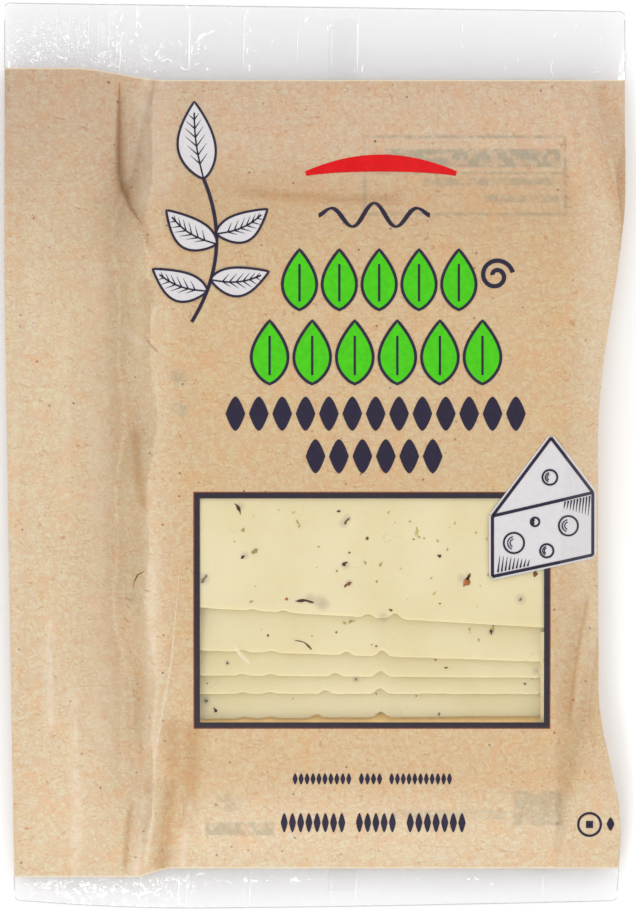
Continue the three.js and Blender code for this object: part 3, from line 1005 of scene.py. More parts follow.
def clear_band(name, inner, outer, seed):
    """A clear end: the film tube goes on without print and closes to a flat seal."""

    def place(share_across, v, at_front):
        near_x = mix(-HALF_WIDTH, HALF_WIDTH, share_across)
        distance = 2 * HALF_WIDTH * np.minimum(share_across, 1 - share_across)
        start = inner(near_x)
        end = outer(near_x, distance)
        rising = np.mean(end) > np.mean(start)
        y = mix(start, end, v) if rising else mix(end, start, v)
        share = v if rising else 1 - v
        x = mix(left_edge(y), right_edge(y), share_across)
        opened = np.sqrt(1 - (1 - np.clip(distance / FOLD_ROUNDING, 0, 1)) ** 2)
        half = mix(FOLD_HALF, band_half(share), opened) * np.where(share > 0.999, 0, 1)
        mid = END_MID + share * band_wave(x)
        uneven = band_relief(x, share, seed) * opened * smooth(0, 0.12, share)
        closed = smooth(BAND_CLOSED_AT * 0.6, BAND_CLOSED_AT, share)
        back_uneven = mix(0.4 * band_relief(x, share, seed + 7), uneven, closed) * opened
        return x, y, mid + np.where(at_front, half + uneven, back_uneven * smooth(0, 0.12, share) - half)

    length = abs(outer(0, HALF_WIDTH) - inner(0))
    band, v = tube(name, BAND_COLUMNS, round(length / (FILM_STEP * 0.6)), place)
    x, y, _ = points_of(band).T / MM
    from_print = np.abs(y - inner(x))
    at_left = smooth(-22, -36, x) * smooth(-80, -72, x)
    by_print = smooth(0, 3, from_print) * smooth(15, 9, from_print)
    keep_values(band, "crumple", 0.12 + 0.88 * at_left * by_print)
    merge_close(band)
    return band


def back_face(x, y):
    """The pack's back along its fin seal, out to the sealed ends."""
    beyond = np.maximum(y - print_top(x), print_bottom(x) - y)
    share = np.clip(beyond / BAND_LENGTH, 0, 1)
    return np.where(beyond > 0, END_MID + share * band_wave(x) - band_half(share), back(x, y))


def seam_length(name, start, end):
    """A length of the fin seal, folded flat against the back, with fine crimps across it."""

    def crimped(x, y):
        return back_face(x, y) + 0.05 * np.sin(2 * np.pi * y / 1.6) - 0.2

    def edge(x):
        return lambda s: (np.full_like(s, x), mix(start, end, s))

    steps = round((end - start) / 0.5)
    return ruled(name, edge(SEAM_LEFT), edge(SEAM_RIGHT), steps, 6, crimped, 0, up=-1)


# The film inside that hugs the slices' lower ends, by y and height: a thin tan strip shows
LAP = ((-70.4, 14.3), (-66.2, 11.76))
LAP_LEFT = -41
LAP_RIGHT = 60.6
# The same at the slices' right ends, up to this far below the front film
SIDE_LAP = (57.8, -69.6, 60.4, -45.2)
SIDE_LAP_DROP = 0.4
# It reaches this far past a slice's lower edge, lies this far over the slices, and rises in this width
SIDE_LAP_REACH = 0.4
SIDE_LAP_OVER = 0.25
SIDE_LAP_RISE = 1.5


def lower_lap(sizes):
    """The film's rise against the slices' lower ends."""

    def rise(x, y):
        return np.interp(y, [mark[0] for mark in LAP], [mark[1] for mark in LAP])

    lap = bar("lower_lap", LAP_LEFT, LAP[0][0], LAP_RIGHT, LAP[-1][0], rise, 0, step=0.8)
    apply_modifier(lap, "SOLIDIFY", thickness=sizes.film, offset=-1)
    return lap


def side_lap(sizes):
    """The film against the slices' right ends, from their tops up to the front film."""

    def draped(x, y):
        tops = np.vectorize(slice_top)(x, y, -SIDE_LAP_REACH) + SIDE_LAP_OVER
        risen = smooth(SIDE_LAP[0], SIDE_LAP[0] + SIDE_LAP_RISE, x)
        return mix(tops, front(x, y) - SIDE_LAP_DROP, risen)

    lap = bar("side_lap", *SIDE_LAP, draped, 0, step=0.4)
    apply_modifier(lap, "SOLIDIFY", thickness=sizes.film, offset=-1)
    return lap


# Painted shade: soft dark lines laid along the sharpest folds, and a caught hair: path and width
FOLD_SHADES = (
    (((-50.1, 96), (-50.3, 88), (-50.2, 79), (-49.8, 72), (-49, 68), (-47.2, 63.6), (-44.4, 59.5)), 2.3),
    (((-43.4, 30), (-41.4, 27.6), (-39.8, 26.2)), 0.7),
    (((-43.6, -29.6), (-45.4, -30.6), (-46.4, -32.6), (-46.6, -34.6)), 0.55),
    (((-43.6, -29.6), (-45.4, -30.6), (-46.4, -32.6)), 0.5), (((-43.8, -34.4), (-42.2, -35)), 0.6),
)
# Soft pale lines where a fold catches the light: path and width
FOLD_LIGHTS = (
    (RIDGE, 0.8),
    (((-71.6, 34.6), (-72.8, 33.4)), 0.9), (((-73, 34.6), (-71.4, 33)), 0.8),
    (((-46.6, 8.8), (-43.4, 8.4)), 1.3), (((-20.8, -48.8), (-18.8, -51.2), (-16.6, -53.4)), 1.2),
    (((70.3, 78.9), (70.7, 78.3)), 0.9), (((-67.9, -67), (-67.4, -69.6)), 0.8),
    (((-68.2, -46), (-68.4, -58), (-68, -68)), 1), (((-34.1, -89), (-34.3, -92)), 0.6),
)


# A fold's line is drawn in these shares of its width, each this much above the last
FOLD_LAYERS = (1, 0.66, 0.36)
FOLD_LAYER_LIFT = 0.012


def fold_strokes(marks, width):
    """A soft line drawn along a fold of the front film, in widths laid one over the other."""
    places = np.linspace(0, 1, len(marks))

    def path(s):
        return tuple(np.interp(s, places, [mark[axis] for mark in marks]) for axis in (0, 1))

    def breadth(share):
        return lambda s: width * share * np.sin(np.pi * np.clip(s, 0.01, 0.99)) ** 0.7

    return [
        stroke("fold", path, breadth(share), 8 * len(marks), front, INK_LIFT + level * FOLD_LAYER_LIFT)
        for level, share in enumerate(FOLD_LAYERS)
    ]


# Painted highlights along folds in the clear ends: x, lower and upper end, width
FOLD_LINES = (
    (-32.4, 98.4, 114.6, 0.5), (-18.4, 98.6, 114.4, 0.28), (-4.6, 99.5, 113, 0.2), (10.9, 97.5, 114, 0.3),
    (4.2, 98, 114, 0.16), (-66.5, 102, 115, 0.14), (-63.4, 102.5, 115, 0.2), (-60.8, 101, 115, 0.12),
    (-58.4, 102, 115, 0.2), (-55.7, 101, 115, 0.12), (-53.1, 102.5, 114.6, 0.24), (-50.2, 98, 106, 0.3),
    (-45, -115.5, -107.5, 0.34), (-35.2, -115.8, -107.2, 0.4), (-33, -115.9, -106.4, 0.2),
    (-16.8, -115.6, -107, 0.3), (4.1, -115.4, -107, 0.16), (10.4, -115.2, -107, 0.26),
    (-57.2, -115, -108.8, 0.18), (30.6, -114, -107, 0.16), (58.4, -113.8, -107, 0.22),
)
# Painted glints on small wrinkles: x, y, length, width and turn in degrees
GLINTS = (
    (-28.8, 107.3, 3.6, 1.5, 40), (-26.4, 108.6, 2.2, 0.9, 30), (-49.3, 112.3, 2.4, 0.7, 80),
    (-49.2, 108.2, 1.8, 0.6, 70), (-71, 103, 1.6, 1.0, 30), (-65.3, 102.7, 2.4, 0.8, 160),
    (-53.9, 103.1, 2.2, 0.8, 60), (-51.6, 105.8, 1.5, 0.6, 120), (-52.3, 99.9, 2.6, 0.7, 20),
    (-42.8, 102.1, 3.0, 0.6, 150), (-40.4, 103.2, 2.2, 0.6, 60), (-37.9, 101.4, 2.6, 0.5, 10),
    (-33.4, 99.6, 2.4, 0.5, 165), (-31.2, 103.9, 2.2, 0.7, 75), (-30.2, 100.3, 1.6, 0.4, 20),
    (-16.4, 109.4, 1.5, 0.5, 100), (-2, 111.8, 1.6, 0.8, 60), (12.6, 99.3, 2.4, 0.6, 80),
    (26.4, 108.8, 2.6, 0.24, 100), (38.4, 109.9, 2.8, 0.5, 92), (37.8, 106, 1.6, 0.2, 95),
    (61.8, 107.9, 1.5, 0.5, 70), (67.4, 110.3, 1.6, 0.4, 60), (61.4, 99.4, 4.2, 0.4, 92),
    (49.2, 99.6, 2, 0.3, 88), (73.8, 106.5, 2.2, 0.24, 95), (20.3, 109.2, 1.8, 0.16, 92),
    (-67.3, -109.9, 3.2, 1.1, 10), (-70.6, -109.4, 2, 0.7, 170), (-63.4, -110.2, 2.6, 0.9, 20),
    (-58.6, -109.6, 2.4, 0.8, 175), (-54.3, -109.4, 3, 1, 10), (-50.6, -109.9, 2, 0.6, 150),
    (-48.3, -112.2, 2.6, 0.8, 30), (-43.6, -113.2, 4.6, 1.3, 22), (-40.2, -112, 2.6, 0.8, 35),
    (-37.9, -110.9, 1.8, 0.5, 80), (-34.3, -114.9, 2.6, 1, 165), (-62, -113, 3.2, 0.3, 8),
    (-57.4, -112.9, 3.6, 0.3, 172), (-32.4, -108.6, 2.2, 1.1, 70), (-29.4, -108, 3, 0.9, 15),
    (-24.8, -108.7, 3.4, 0.5, 160), (-21.8, -109.4, 2.4, 0.8, 140), (-11, -108.4, 1.6, 0.5, 20),
)


# Where the ends are crumpled: left, right, lower, upper bound and how many small glints
CRUMPLED = (
    (-73, -29, 99.5, 106.5, 70), (-58, -30, 104, 113, 14), (-69, -33, -114, -108.2, 60),
    (-28, 74, 98, 113, 34),
)


def small_glints(draw):
    """Tiny glints spread over the crumpled parts, in one seeded order."""
    for left, right, low, high, count in CRUMPLED:
        for _ in range(count):
            length = draw.uniform(0.3, 1.5)
            yield (
                draw.uniform(left, right), draw.uniform(low, high), length,
                draw.uniform(0.12, 0.4), draw.uniform(0, 180),
            )


def painted_glints():
    """Painted highlights: white strokes on narrow folds and small creases that stand up in the clear ends,
    where they catch the light.
    """

    def height(x, y):
        inward = np.minimum(top_edge(x, 9) - y, y - bottom_edge(x, 9))
        return END_MID + band_wave(x) + mix(SEALED_HALF, END_HALF, smooth(6, 16, inward)) + GLINT_LIFT

    def pinched(width):
        return lambda s: width * (0.12 + 0.88 * np.sin(np.pi * np.clip(s, 0, 1)))

    wrinkles = []
    for x, low, high, width in FOLD_LINES:
        sway = line_path(x, low, x + 0.4, high)
        wrinkles.append(stroke("fold", sway, pinched(width * 0.8), 24, height, 0))
    for x, y, length, width, turn in (*GLINTS, *small_glints(random.Random(GLINT_SEED))):
        angle = math.radians(turn)
        dx, dy = length / 2 * math.cos(angle), length / 2 * math.sin(angle)
        path = bent((x - dx, y - dy), (x - dy * 0.7, y + dx * 0.7), (x + dx, y + dy))
        wrinkles.append(stroke("glint", path, pinched(width * 0.72), 12, height, 0))
    return wrinkles


CUT_EDGE_WIDTH = 0.26
CUT_EDGE_LIFT = 0.2


def cut_edges():
    """The thin grey line that the clear ends' folds and cut edges show."""

    def along_end(outer):
        def path(s):
            near_x = mix(-HALF_WIDTH, HALF_WIDTH, s)
            y = outer(near_x, 2 * HALF_WIDTH * np.clip(np.minimum(s, 1 - s), 0, 1))
            return mix(left_edge(y), right_edge(y), s), y

        return path

    def along_side(side, start, end):
        return lambda s: (side(mix(start, end, s)), mix(start, end, s))

    def height(x, y):
        return END_MID + CUT_EDGE_LIFT + band_wave(x)

    paths = [along_end(top_edge), along_end(bottom_edge)]
    for side in (left_edge, right_edge):
        paths.append(along_side(side, print_top(side(100)), 112))
        paths.append(along_side(side, -112, print_bottom(side(-110))))
    return [stroke("edge", path, CUT_EDGE_WIDTH, 160, height, 0) for path in paths]


# Cheese


def scallop(x, number):
    total = 0
    shift = TOP_SCALLOP_SHIFT if number == 0 else 0
    for at, width, depth, drift in SCALLOPS:
        total = total + depth * smooth(width, 0, np.abs(x - at - shift - drift * number))
    return total


def slice_turn(number):
    if number < len(FANNED_TURNS):
        return math.radians(FANNED_TURNS[number])
    return math.radians(SQUARED_TURN if number % 2 == 0 else -SQUARED_TURN)


def slice_edge(x, number):
    """The cut-outs of a slice's lower edge; the squared slices below show none."""
    return scallop(x, number) if number < len(FANNED_TURNS) else 0


def cheese_slice(number, sizes):
    """One slice on its solid's place, with a scalloped lower edge and rounded rims."""
    node = f"cheese_slice_{number + 1:02d}"
    low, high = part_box(node)
    middle_x, middle_y = ((low[i] + high[i]) / 2 / MM for i in (0, 1))
    turn = slice_turn(number)
    piece, u, v = grid(f"cheese_{number + 1:02d}", SLICE_COLUMNS, SLICE_ROWS)
    x = mix(-SLICE_WIDTH / 2, SLICE_WIDTH / 2, u)
    setback = corner_setback(SLICE_WIDTH / 2 - np.abs(x), SLICE_CORNER)
    grain = 0.12 * ripple(x, x * 0 + number * 40, 5, 11) + 0.05 * ripple(x, x * 0 + number * 9, 1.6, 12)
    bottom = -SLICE_LENGTH / 2 + setback + slice_edge(x, number) + np.abs(grain) * 0.7
    top = SLICE_LENGTH / 2 - setback
    y = mix(bottom, top, v**ROW_CROWDING)
    z = high[2] / MM + 0.03 * ripple(x, y, 14, 20 + number) - SLICE_SETTLED
    place_points(piece, *turned(middle_x, middle_y, turn, x, y), z)
    apply_modifier(piece, "SOLIDIFY", thickness=SHEET_THICKNESS * MM, offset=-1)
    apply_modifier(
        piece, "BEVEL", width=sizes.edge_round, segments=3, limit_method="ANGLE",
        angle_limit=math.radians(50),
    )
    return piece, node


# Herb flecks on the slices: x, y, length, width, turn in degrees, curl, kind
FLECKS = (
    (-19.6, -13.6, 3.2, 0.7, 118, -0.12, "dark"), (-10.2, -9.9, 1.9, 0.9, 70, 0.1, "dark"),
    (-18.4, -26, 1.4, 0.6, 40, 0, "dark"), (-15.3, -24.5, 1.8, 1.1, 35, 0.1, "olive"),
    (-7.2, -36.8, 0.8, 0.7, 0, 0, "orange"), (-2.6, -37.3, 4.8, 0.75, 176, -0.08, "dark"),
    (6.2, -14.3, 0.9, 0.6, 15, 0, "dark"), (8.2, -16.8, 2.2, 0.6, 52, 0.1, "brown"),
    (13.5, -21.2, 0.8, 0.7, 80, 0, "brown"), (8.9, -24.9, 0.5, 0.5, 10, 0, "brown"),
    (7.7, -27.7, 1.6, 0.8, 35, 0.1, "dark"), (5.7, -29.6, 0.5, 0.5, 0, 0, "olive"),
    (8.5, -33, 2.2, 0.8, 30, 0.1, "brown"), (31.9, -25.7, 1.1, 0.7, 165, 0, "dark"),
    (38.9, -32.2, 3.2, 1.5, 62, 0, "orange"), (39.4, -31, 2, 0.8, 62, 0, "brown"),
    (52.7, -36.8, 1, 0.6, 60, 0, "grey"), (56.5, -30.2, 1.9, 1, 75, 0.1, "brown"),
    (19.4, -39.6, 0.9, 0.6, 150, 0, "brown"), (-28.3, -31.6, 2.6, 0.8, 55, 0, "grey"),
    (18.2, -41.2, 1.3, 0.6, 40, 0, "grey"), (-2.8, -48.2, 5, 0.42, 151, -0.14, "brown"),
    (-12.4, -48.9, 0.8, 0.5, 40, 0, "brown"), (15.8, -48.9, 0.7, 0.5, 0, 0, "grey"),
    (45.2, -45.2, 1.5, 0.6, 100, 0, "dark"), (45.6, -44.2, 1.8, 0.7, 80, 0, "olive"),
    (20.8, -51.1, 0.5, 0.5, 0, 0, "brown"), (-22.4, -53.2, 0.8, 0.5, 100, 0, "brown"),
    (33.7, -54.4, 1, 0.45, 10, 0, "brown"), (56.6, -55.2, 0.6, 0.5, 0, 0, "brown"),
    (53.9, -58.6, 0.6, 0.6, 0, 0, "grey"), (10.6, -57.4, 0.7, 0.5, 40, 0, "grey"),
    (-27.8, -63, 0.9, 0.8, 0, 0, "grey"), (-25.5, -65.2, 1.3, 0.7, 130, 0.1, "dark"),
    (31.9, -66.3, 0.9, 0.6, 80, 0, "grey"),
    # pale curd cracks of the top slices
    (-18.3, -19, 0.9, 0.8, 60, 0, "curd"), (-4.4, -17, 1.2, 0.45, 120, 0, "curd"),
    (-3.9, -18, 1, 0.45, 60, 0, "curd"), (-5.4, -14.6, 0.9, 0.4, 20, 0, "curd"),
    (18.9, -14.6, 0.9, 0.4, 50, 0, "curd"), (26.1, -19.4, 2.3, 0.6, 82, -0.1, "curd"),
    (26.6, -20.8, 1, 0.45, 140, 0, "curd"), (35.9, -17.3, 1.2, 0.35, 72, 0, "curd"),
    (31.5, -21.9, 1.1, 0.4, 130, 0, "curd"), (34, -24, 0.8, 0.35, 80, 0, "curd"),
    (17, -27.8, 1.5, 0.5, 60, 0.1, "curd"), (12.9, -27.4, 1.1, 0.45, 120, 0, "curd"),
    (44.5, -30.7, 1, 0.5, 130, 0, "curd"), (47.2, -29.4, 0.8, 0.5, 20, 0, "curd"),
    (44, -21.3, 0.8, 0.4, 60, 0, "curd"), (30.6, -35.3, 1.1, 0.5, 50, 0, "curd"),
    (29.9, -31.4, 0.7, 0.4, 60, 0, "curd"), (9.4, -42.6, 2, 0.5, 20, 0.2, "curd"),
    (7.6, -42.9, 1.2, 0.5, 140, 0, "curd"), (39.7, -44.5, 0.8, 0.5, 100, 0, "curd"),
    (42, -47.2, 0.9, 0.4, 100, 0, "curd"), (-16.2, -37.4, 1, 0.5, 20, 0, "curd"),
    (-10.8, -38, 1.4, 0.5, 10, 0, "curd"), (31, -52.4, 0.6, 0.5, 0, 0, "orange"),
    (22, -29, 0.6, 0.35, 30, 0, "curd"), (1, -23.4, 0.6, 0.5, 0, 0, "curd"),
)


def slice_top(x, y, margin=2.2):
    """The height of the topmost slice under a place, that far in from its lower edge."""
    for number, turn in enumerate(FANNED_TURNS):
        low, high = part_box(f"cheese_slice_{number + 1:02d}")
        middle_x, middle_y = ((low[i] + high[i]) / 2 / MM for i in (0, 1))
        angle = math.radians(turn)
        along = -(x - middle_x) * math.sin(angle) + (y - middle_y) * math.cos(angle)
        if along > -SLICE_LENGTH / 2 + margin:
            break
    return high[2] / MM


def fleck(x, y, length, width, turn, curl):
    """One flat curled bit of herb, pressed into the top of the slice it lies in."""
    top = slice_top(x, y)
    angle = math.radians(turn)

    def path(s):
        along = (s - 0.5) * length
        side = curl * length * (np.cos(np.pi * (s - 0.5)) - 0.6) + 0.07 * width * np.sin(11 * s + 5 * x)
        return turned(x, y, angle, along, side)

    def breadth(s):
        body = 0.12 + 0.88 * np.sin(np.pi * np.clip(s, 0.02, 0.98) ** (0.8 + 0.3 * math.sin(7 * x))) ** 0.8
        return width * body * (1 + 0.32 * np.sin(9 * s + 3 * y))

    return stroke("fleck", path, breadth, 12, lambda px, py: np.full_like(px, top), FLECK_LIFT)


def small_flecks(draw):
    """Tiny bits spread over what shows of the slices, in one seeded order."""
    kinds = ("olive", "curd", "brown", "curd")
    for _ in range(SMALL_FLECKS):
        x = draw.uniform(-29, 58)
        y = draw.uniform(-66, -12)
        size = draw.uniform(0.25, 0.6)
        yield x, y, size, size * draw.uniform(0.5, 0.9), draw.uniform(0, 180), 0, draw.choice(kinds)


# The generic front print


def arc_path(middle_x, middle_y, radius, start, end):
    def path(s):
        angle = np.radians(mix(start, end, s))
        return middle_x + radius * np.cos(angle), middle_y + radius * np.sin(angle)

    return path


def line_path(x0, y0, x1, y1):
    return lambda s: (mix(x0, x1, s), mix(y0, y1, s))


def leaf(x, y, length, width, turn, bend=0.0, lift=INK_LIFT, steps=18):
    """A pointed leaf from its stem end, with its midline for the vein."""
    angle = math.radians(turn)

    def at(s, side):
        along = s * length
        aside = bend * length * np.sin(np.pi * s) + side * width / 2 * np.sin(np.pi * s**0.8) ** 0.9
        return turned(x, y, angle, along, aside)

    def edge(side):
        return lambda s: at(np.clip(s, 0, 1), side)

    def around(s):
        turn_share = np.mod(s, 1) * 2
        first = at(np.clip(turn_share, 0, 1), 1)
        second = at(np.clip(2 - turn_share, 0, 1), -1)
        is_first = turn_share <= 1
        return tuple(np.where(is_first, a, b) for a, b in zip(first, second))

    fill = ruled("leaf", edge(-1), edge(1), steps, 6, front, lift)
    return fill, around, lambda s: at(np.clip(s, 0, 1), 0)


# Rows of green leaves on the front: left, right, height above the middle, length and count
LEAF_ROWS = ((-9, 42, 45, 15.4, 5), (-17, 48.4, 26.4, 16.2, 6))
# The red arch and the ring: middle, radius, and start and end in degrees
ARCH = (17, 5, 70, 106, 74)
RING = (70.6, -94.8, 2.9, 0, 360)
RING_MARK = (69.7, -95.7, 71.5, -93.9)
RING_LOZENGE = (76, -94.7, 2, 3.4)
# The spiral: its middle, and its first and last angle and radius
SPIRAL_MIDDLE = (46.4, 46)
SPIRAL_ANGLES = (0.2, 9.2)
SPIRAL_RADII = (4.4, 0.9)
# The flourish: its ends, its height above the middle, its swing and its half turns
FLOURISH_ENDS = (1, 29.5)
FLOURISH_Y = 61.5
FLOURISH_SWING = 3.2
FLOURISH_TURNS = 5
# Rows of dark lozenges on the front: left, right, height above the middle, size and count
LOZENGE_ROWS = (
    (-23.3, 54.5, 10.7, 8.8, 13), (-2.8, 33.2, -0.2, 8.8, 6),
    (-5.8, 9.5, -83, 2.9, 10), (11.2, 17.4, -83, 2.9, 4), (19, 35.3, -83, 2.9, 11),
    (-8.9, 8, -94.3, 5, 8), (10.4, 21, -94.3, 5, 5), (23.4, 38.9, -94.3, 5, 7),
)


def lozenge(x, y, width, height):
    """An upright ornament with soft sides."""

    def edge(side):
        def at(s):
            across = mix(-1, 1, s)
            reach = (1 - np.abs(across) ** 1.7) * height / 2
            return x + across * width / 2, y + side * reach

        return at

    return ruled("lozenge", edge(-1), edge(1), 10, 6, front, INK_LIFT)


def spiral(s):
    """A small open spiral beside the first row of leaves."""
    x, y = SPIRAL_MIDDLE
    angle = mix(*SPIRAL_ANGLES, s)
    radius = mix(*SPIRAL_RADII, s)
    return x + radius * np.cos(angle), y + radius * np.sin(angle)


def ornament_row(left, right, y, height, count, green_fills, outlines):
    """A row of upright leaves, each with a dark rim and a dark vein."""
    pitch = (right - left) / count
    for i in range(count):
        x = left + pitch * (i + 0.5)
        fill, around, _ = leaf(x, y - height / 2, height, pitch * 0.86, 90, steps=22)
        green_fills.append(fill)
        outlines.append(stroke("rim", around, 0.75, 60, front, LINE_LIFT))
        vein = line_path(x, y - height * 0.36, x, y + height * 0.26)
        outlines.append(stroke("vein", vein, 0.6, 14, front, LINE_LIFT))


class PackOperator:
    """What the pack's operators share."""

    bl_options = {"REGISTER", "UNDO"}

    @property
    def sizes(self):
        return bpy.context.scene.pack_sizes

    @property
    def colours(self):
        return bpy.context.scene.pack_colours


class PACK_OT_film(PackOperator, bpy.types.Operator):
    """Builds the printed film, the clear window, the clear ends and the fin seal"""

    bl_idname = "pack.film"
    bl_label = "Film"

    def execute(self, context):
        kraft = kraft_material(self.colours)
        finish(film_sheets(self.sizes), kraft, "printed_film", "printed_pouch")
        # Each lap's tone and its glow, a painted light for what comes through the film above
        for piece, tone, glow in (
            (lower_lap(self.sizes), seen(240, 206, 138), 0.24),
            (side_lap(self.sizes), seen(226, 206, 162), 0.17),
        ):
            finish(piece, lap_material(f"{piece.name}_film", tone, glow), "printed_film")
        # Painted shade and painted highlights along the folds, laid as faint strokes in the ink material
        for name, folds, alpha, tone in (
            ("film_fold_shades", FOLD_SHADES, 0.11, (0.34, 0.15, 0.05)),
            ("film_fold_lights", FOLD_LIGHTS, 0.2, (1, 0.9, 0.74)),
        ):
            strokes = [piece for fold in folds for piece in fold_strokes(*fold)]
            finish(join(strokes, name), ink_material(name, tone, alpha=alpha), "printed_film")
        finish(window_sheet(), clear_material("window_clear"), "clear_film", "window_film")
        ends = clear_material("end_clear")
        top = clear_band("top_clear_film", print_top, top_edge, 31)
        finish(top, ends, "clear_film", "top_clear_band")
        bottom = clear_band("bottom_clear_film", print_bottom, bottom_edge, 51)
        finish(bottom, ends, "clear_film", "bottom_clear_band")
        seam_middle = (SEAM_LEFT + SEAM_RIGHT) / 2
        low, high = print_bottom(seam_middle), print_top(seam_middle)
        seam = seam_length("fin_seam", low, high)
        keep_values(seam, "rim", np.ones(len(seam.data.vertices)))
        apply_modifier(seam, "SOLIDIFY", thickness=self.sizes.film, offset=-1)
        finish(seam, kraft, "printed_film", "back_seam")
        clear_lengths = [seam_length("end", -SEAM_END, low), seam_length("end", high, SEAM_END)]
        finish(join(clear_lengths, "fin_seam_ends"), clear_material("seam_clear"), "clear_film")
        bright = clear_material("painted_glint")
        finish(join(painted_glints(), "film_painted_glints"), bright, "clear_film")
        finish(join(cut_edges(), "film_cut_edges"), clear_material("cut_edge"), "clear_film")
        return {"FINISHED"}


class PACK_OT_slices(PackOperator, bpy.types.Operator):
    """Builds the ten slices of cheese"""

    bl_idname = "pack.slices"
    bl_label = "Slices"

    def execute(self, context):
        cheese = cheese_material(self.colours)
        for number in range(SLICES):
            piece, node = cheese_slice(number, self.sizes)
            finish(piece, cheese, "cheese", node)
        return {"FINISHED"}


class PACK_OT_flecks(PackOperator, bpy.types.Operator):
    """Builds the bits of herb in the slices, joined by kind"""

    bl_idname = "pack.flecks"
    bl_label = "Herb flecks"

    def execute(self, context):
        tones = {
            "dark": seen(84, 38, 6), "olive": seen(190, 172, 94), "brown": seen(136, 82, 34),
            "orange": seen(196, 116, 44), "grey": seen(156, 142, 108), "curd": seen(212, 192, 104),
        }
        bits = {kind: [] for kind in tones}
        for *shape, kind in (*FLECKS, *small_flecks(random.Random(FLECK_SEED))):
            bits[kind].append(fleck(*shape))
        for kind, pieces in bits.items():
            layer = join(pieces, f"herb_{kind}")
            apply_modifier(layer, "SOLIDIFY", thickness=FLECK_THICKNESS * MM, offset=-1)
            material = ink_material(f"herb_{kind}", tones[kind], roughness=0.5, uneven=0.2)
            finish(layer, material, "cheese", smooth_faces=False)
        return {"FINISHED"}


class PACK_OT_front_print(PackOperator, bpy.types.Operator):
    """Lays the generic ornaments and bars on the front film"""

    bl_idname = "pack.front_print"
    bl_label = "Front print"

    def execute(self, context):
        navy = ink_material("navy_ink", self.colours.navy[:])
        green = ink_material("green_ink", self.colours.green[:])
        red = ink_material("red_ink", self.colours.red[:])
        greens, darks = [], []
        for row in LEAF_ROWS:
            ornament_row(*row, greens, darks)
        printed(greens, "green_leaf_rows", green)
        arch = stroke("arch", arc_path(*ARCH), arch_width, 40, front, INK_LIFT)
        printed([arch], "red_arch", red)
        darks.append(stroke("flourish", flourish, flourish_width, 90, front, INK_LIFT))
        for left, right, y, height, count in LOZENGE_ROWS:
            pitch = (right - left) / count
            for i in range(count):
                darks.append(lozenge(left + pitch * (i + 0.5), y, pitch * 0.84, height))
        darks.append(stroke("ring", arc_path(*RING), 0.6, 40, front, INK_LIFT))
        darks.append(bar("mark", *RING_MARK, front, INK_LIFT, step=0.7))
        darks.append(lozenge(*RING_LOZENGE))
        darks.append(stroke("spiral", spiral, 1.1, 60, front, INK_LIFT))
        printed(darks, "navy_ornaments", navy)
        return {"FINISHED"}


def arch_width(s):
    return 1.2 + 3.2 * np.sin(np.pi * np.clip(s, 0, 1))


def flourish(s):
    """A long looping pen line where a small script line would stand."""
    swing = FLOURISH_SWING * np.sin(s * np.pi * FLOURISH_TURNS)
    return mix(*FLOURISH_ENDS, s), FLOURISH_Y + swing * np.sin(np.pi * np.clip(s, 0, 1)) ** 0.5


def flourish_width(s):
    return 0.6 + 0.5 * np.abs(np.cos(s * np.pi * FLOURISH_TURNS))


class PACK_OT_window_frame(PackOperator, bpy.types.Operator):
    """Lays the dark frame and its thin warm rim round the window"""

    bl_idname = "pack.window_frame"
    bl_label = "Window frame"

    def execute(self, context):
        navy = ink_material("frame_ink", seen(58, 52, 62))
        rim = ink_material("frame_rim_ink", seen(134, 78, 56))
        for name, grow, width, lift, material in (
            ("window_frame_rim", 0.28, 0.6, INK_LIFT - 0.03, rim),
            ("window_frame", 0, FRAME_BAR, INK_LIFT, navy),
        ):
            left, right = FRAME_LEFT - grow, FRAME_RIGHT + grow
            bottom, top = FRAME_BOTTOM - grow, FRAME_TOP + grow
            sides = [
                (left, bottom, left + width, top),
                (right - width, bottom, right, top),
                (left + width, bottom, right - width, bottom + width),
                (left + width, top - width, right - width, top),
            ]
            bars = [bar("side", *side, front, lift, step=0.7) for side in sides]
            printed(bars, name, material)
        return {"FINISHED"}


class PACK_OT_drawings(PackOperator, bpy.types.Operator):
    """Lays the white sprig and the white wedge, with their dark pen lines"""

    bl_idname = "pack.drawings"
    bl_label = "Drawings"

    def execute(self, context):
        white = ink_material("white_ink", self.colours.white[:], uneven=0.02)
        pen = ink_material("pen_ink", self.colours.navy[:])
        fills, lines = [], []
        sprig(fills, lines)
        wedge(fills, lines)
        printed(fills, "white_drawings", white)
        printed(lines, "pen_lines", pen)
        return {"FINISHED"}


def bent(start, control, end):
    """A curve from one place to another that leans towards a third."""

    def path(s):
        return tuple(
            a * (1 - s) ** 2 + 2 * b * s * (1 - s) + c * s**2 for a, b, c in zip(start, control, end)
        )

    return path


# The sprig's leaves: where on the stem, length, width, turn in degrees, bend
LEAVES = (
    (0.22, 15, 7.6, 158, 0.1), (0.3, 15, 7.4, 8, -0.1), (0.55, 15.5, 8, 146, 0.1),
    (0.62, 14.5, 7.4, 26, -0.1), (1, 20, 9.6, 97, 0.04),
)


def sprig(fills, lines):
    """A generic sprig: smooth leaves in pairs up a bent stem."""
    stem = bent((-31.5, 34.2), (-20.5, 52), (-28.5, 71))
    lines.append(stroke("stem", stem, 0.9, 50, front, LINE_LIFT))
    for share, length, width, turn, bend in LEAVES:
        x, y = (float(c) for c in stem(np.array(share)))
        add_leaf(x, y, length, width, turn, bend, fills, lines)


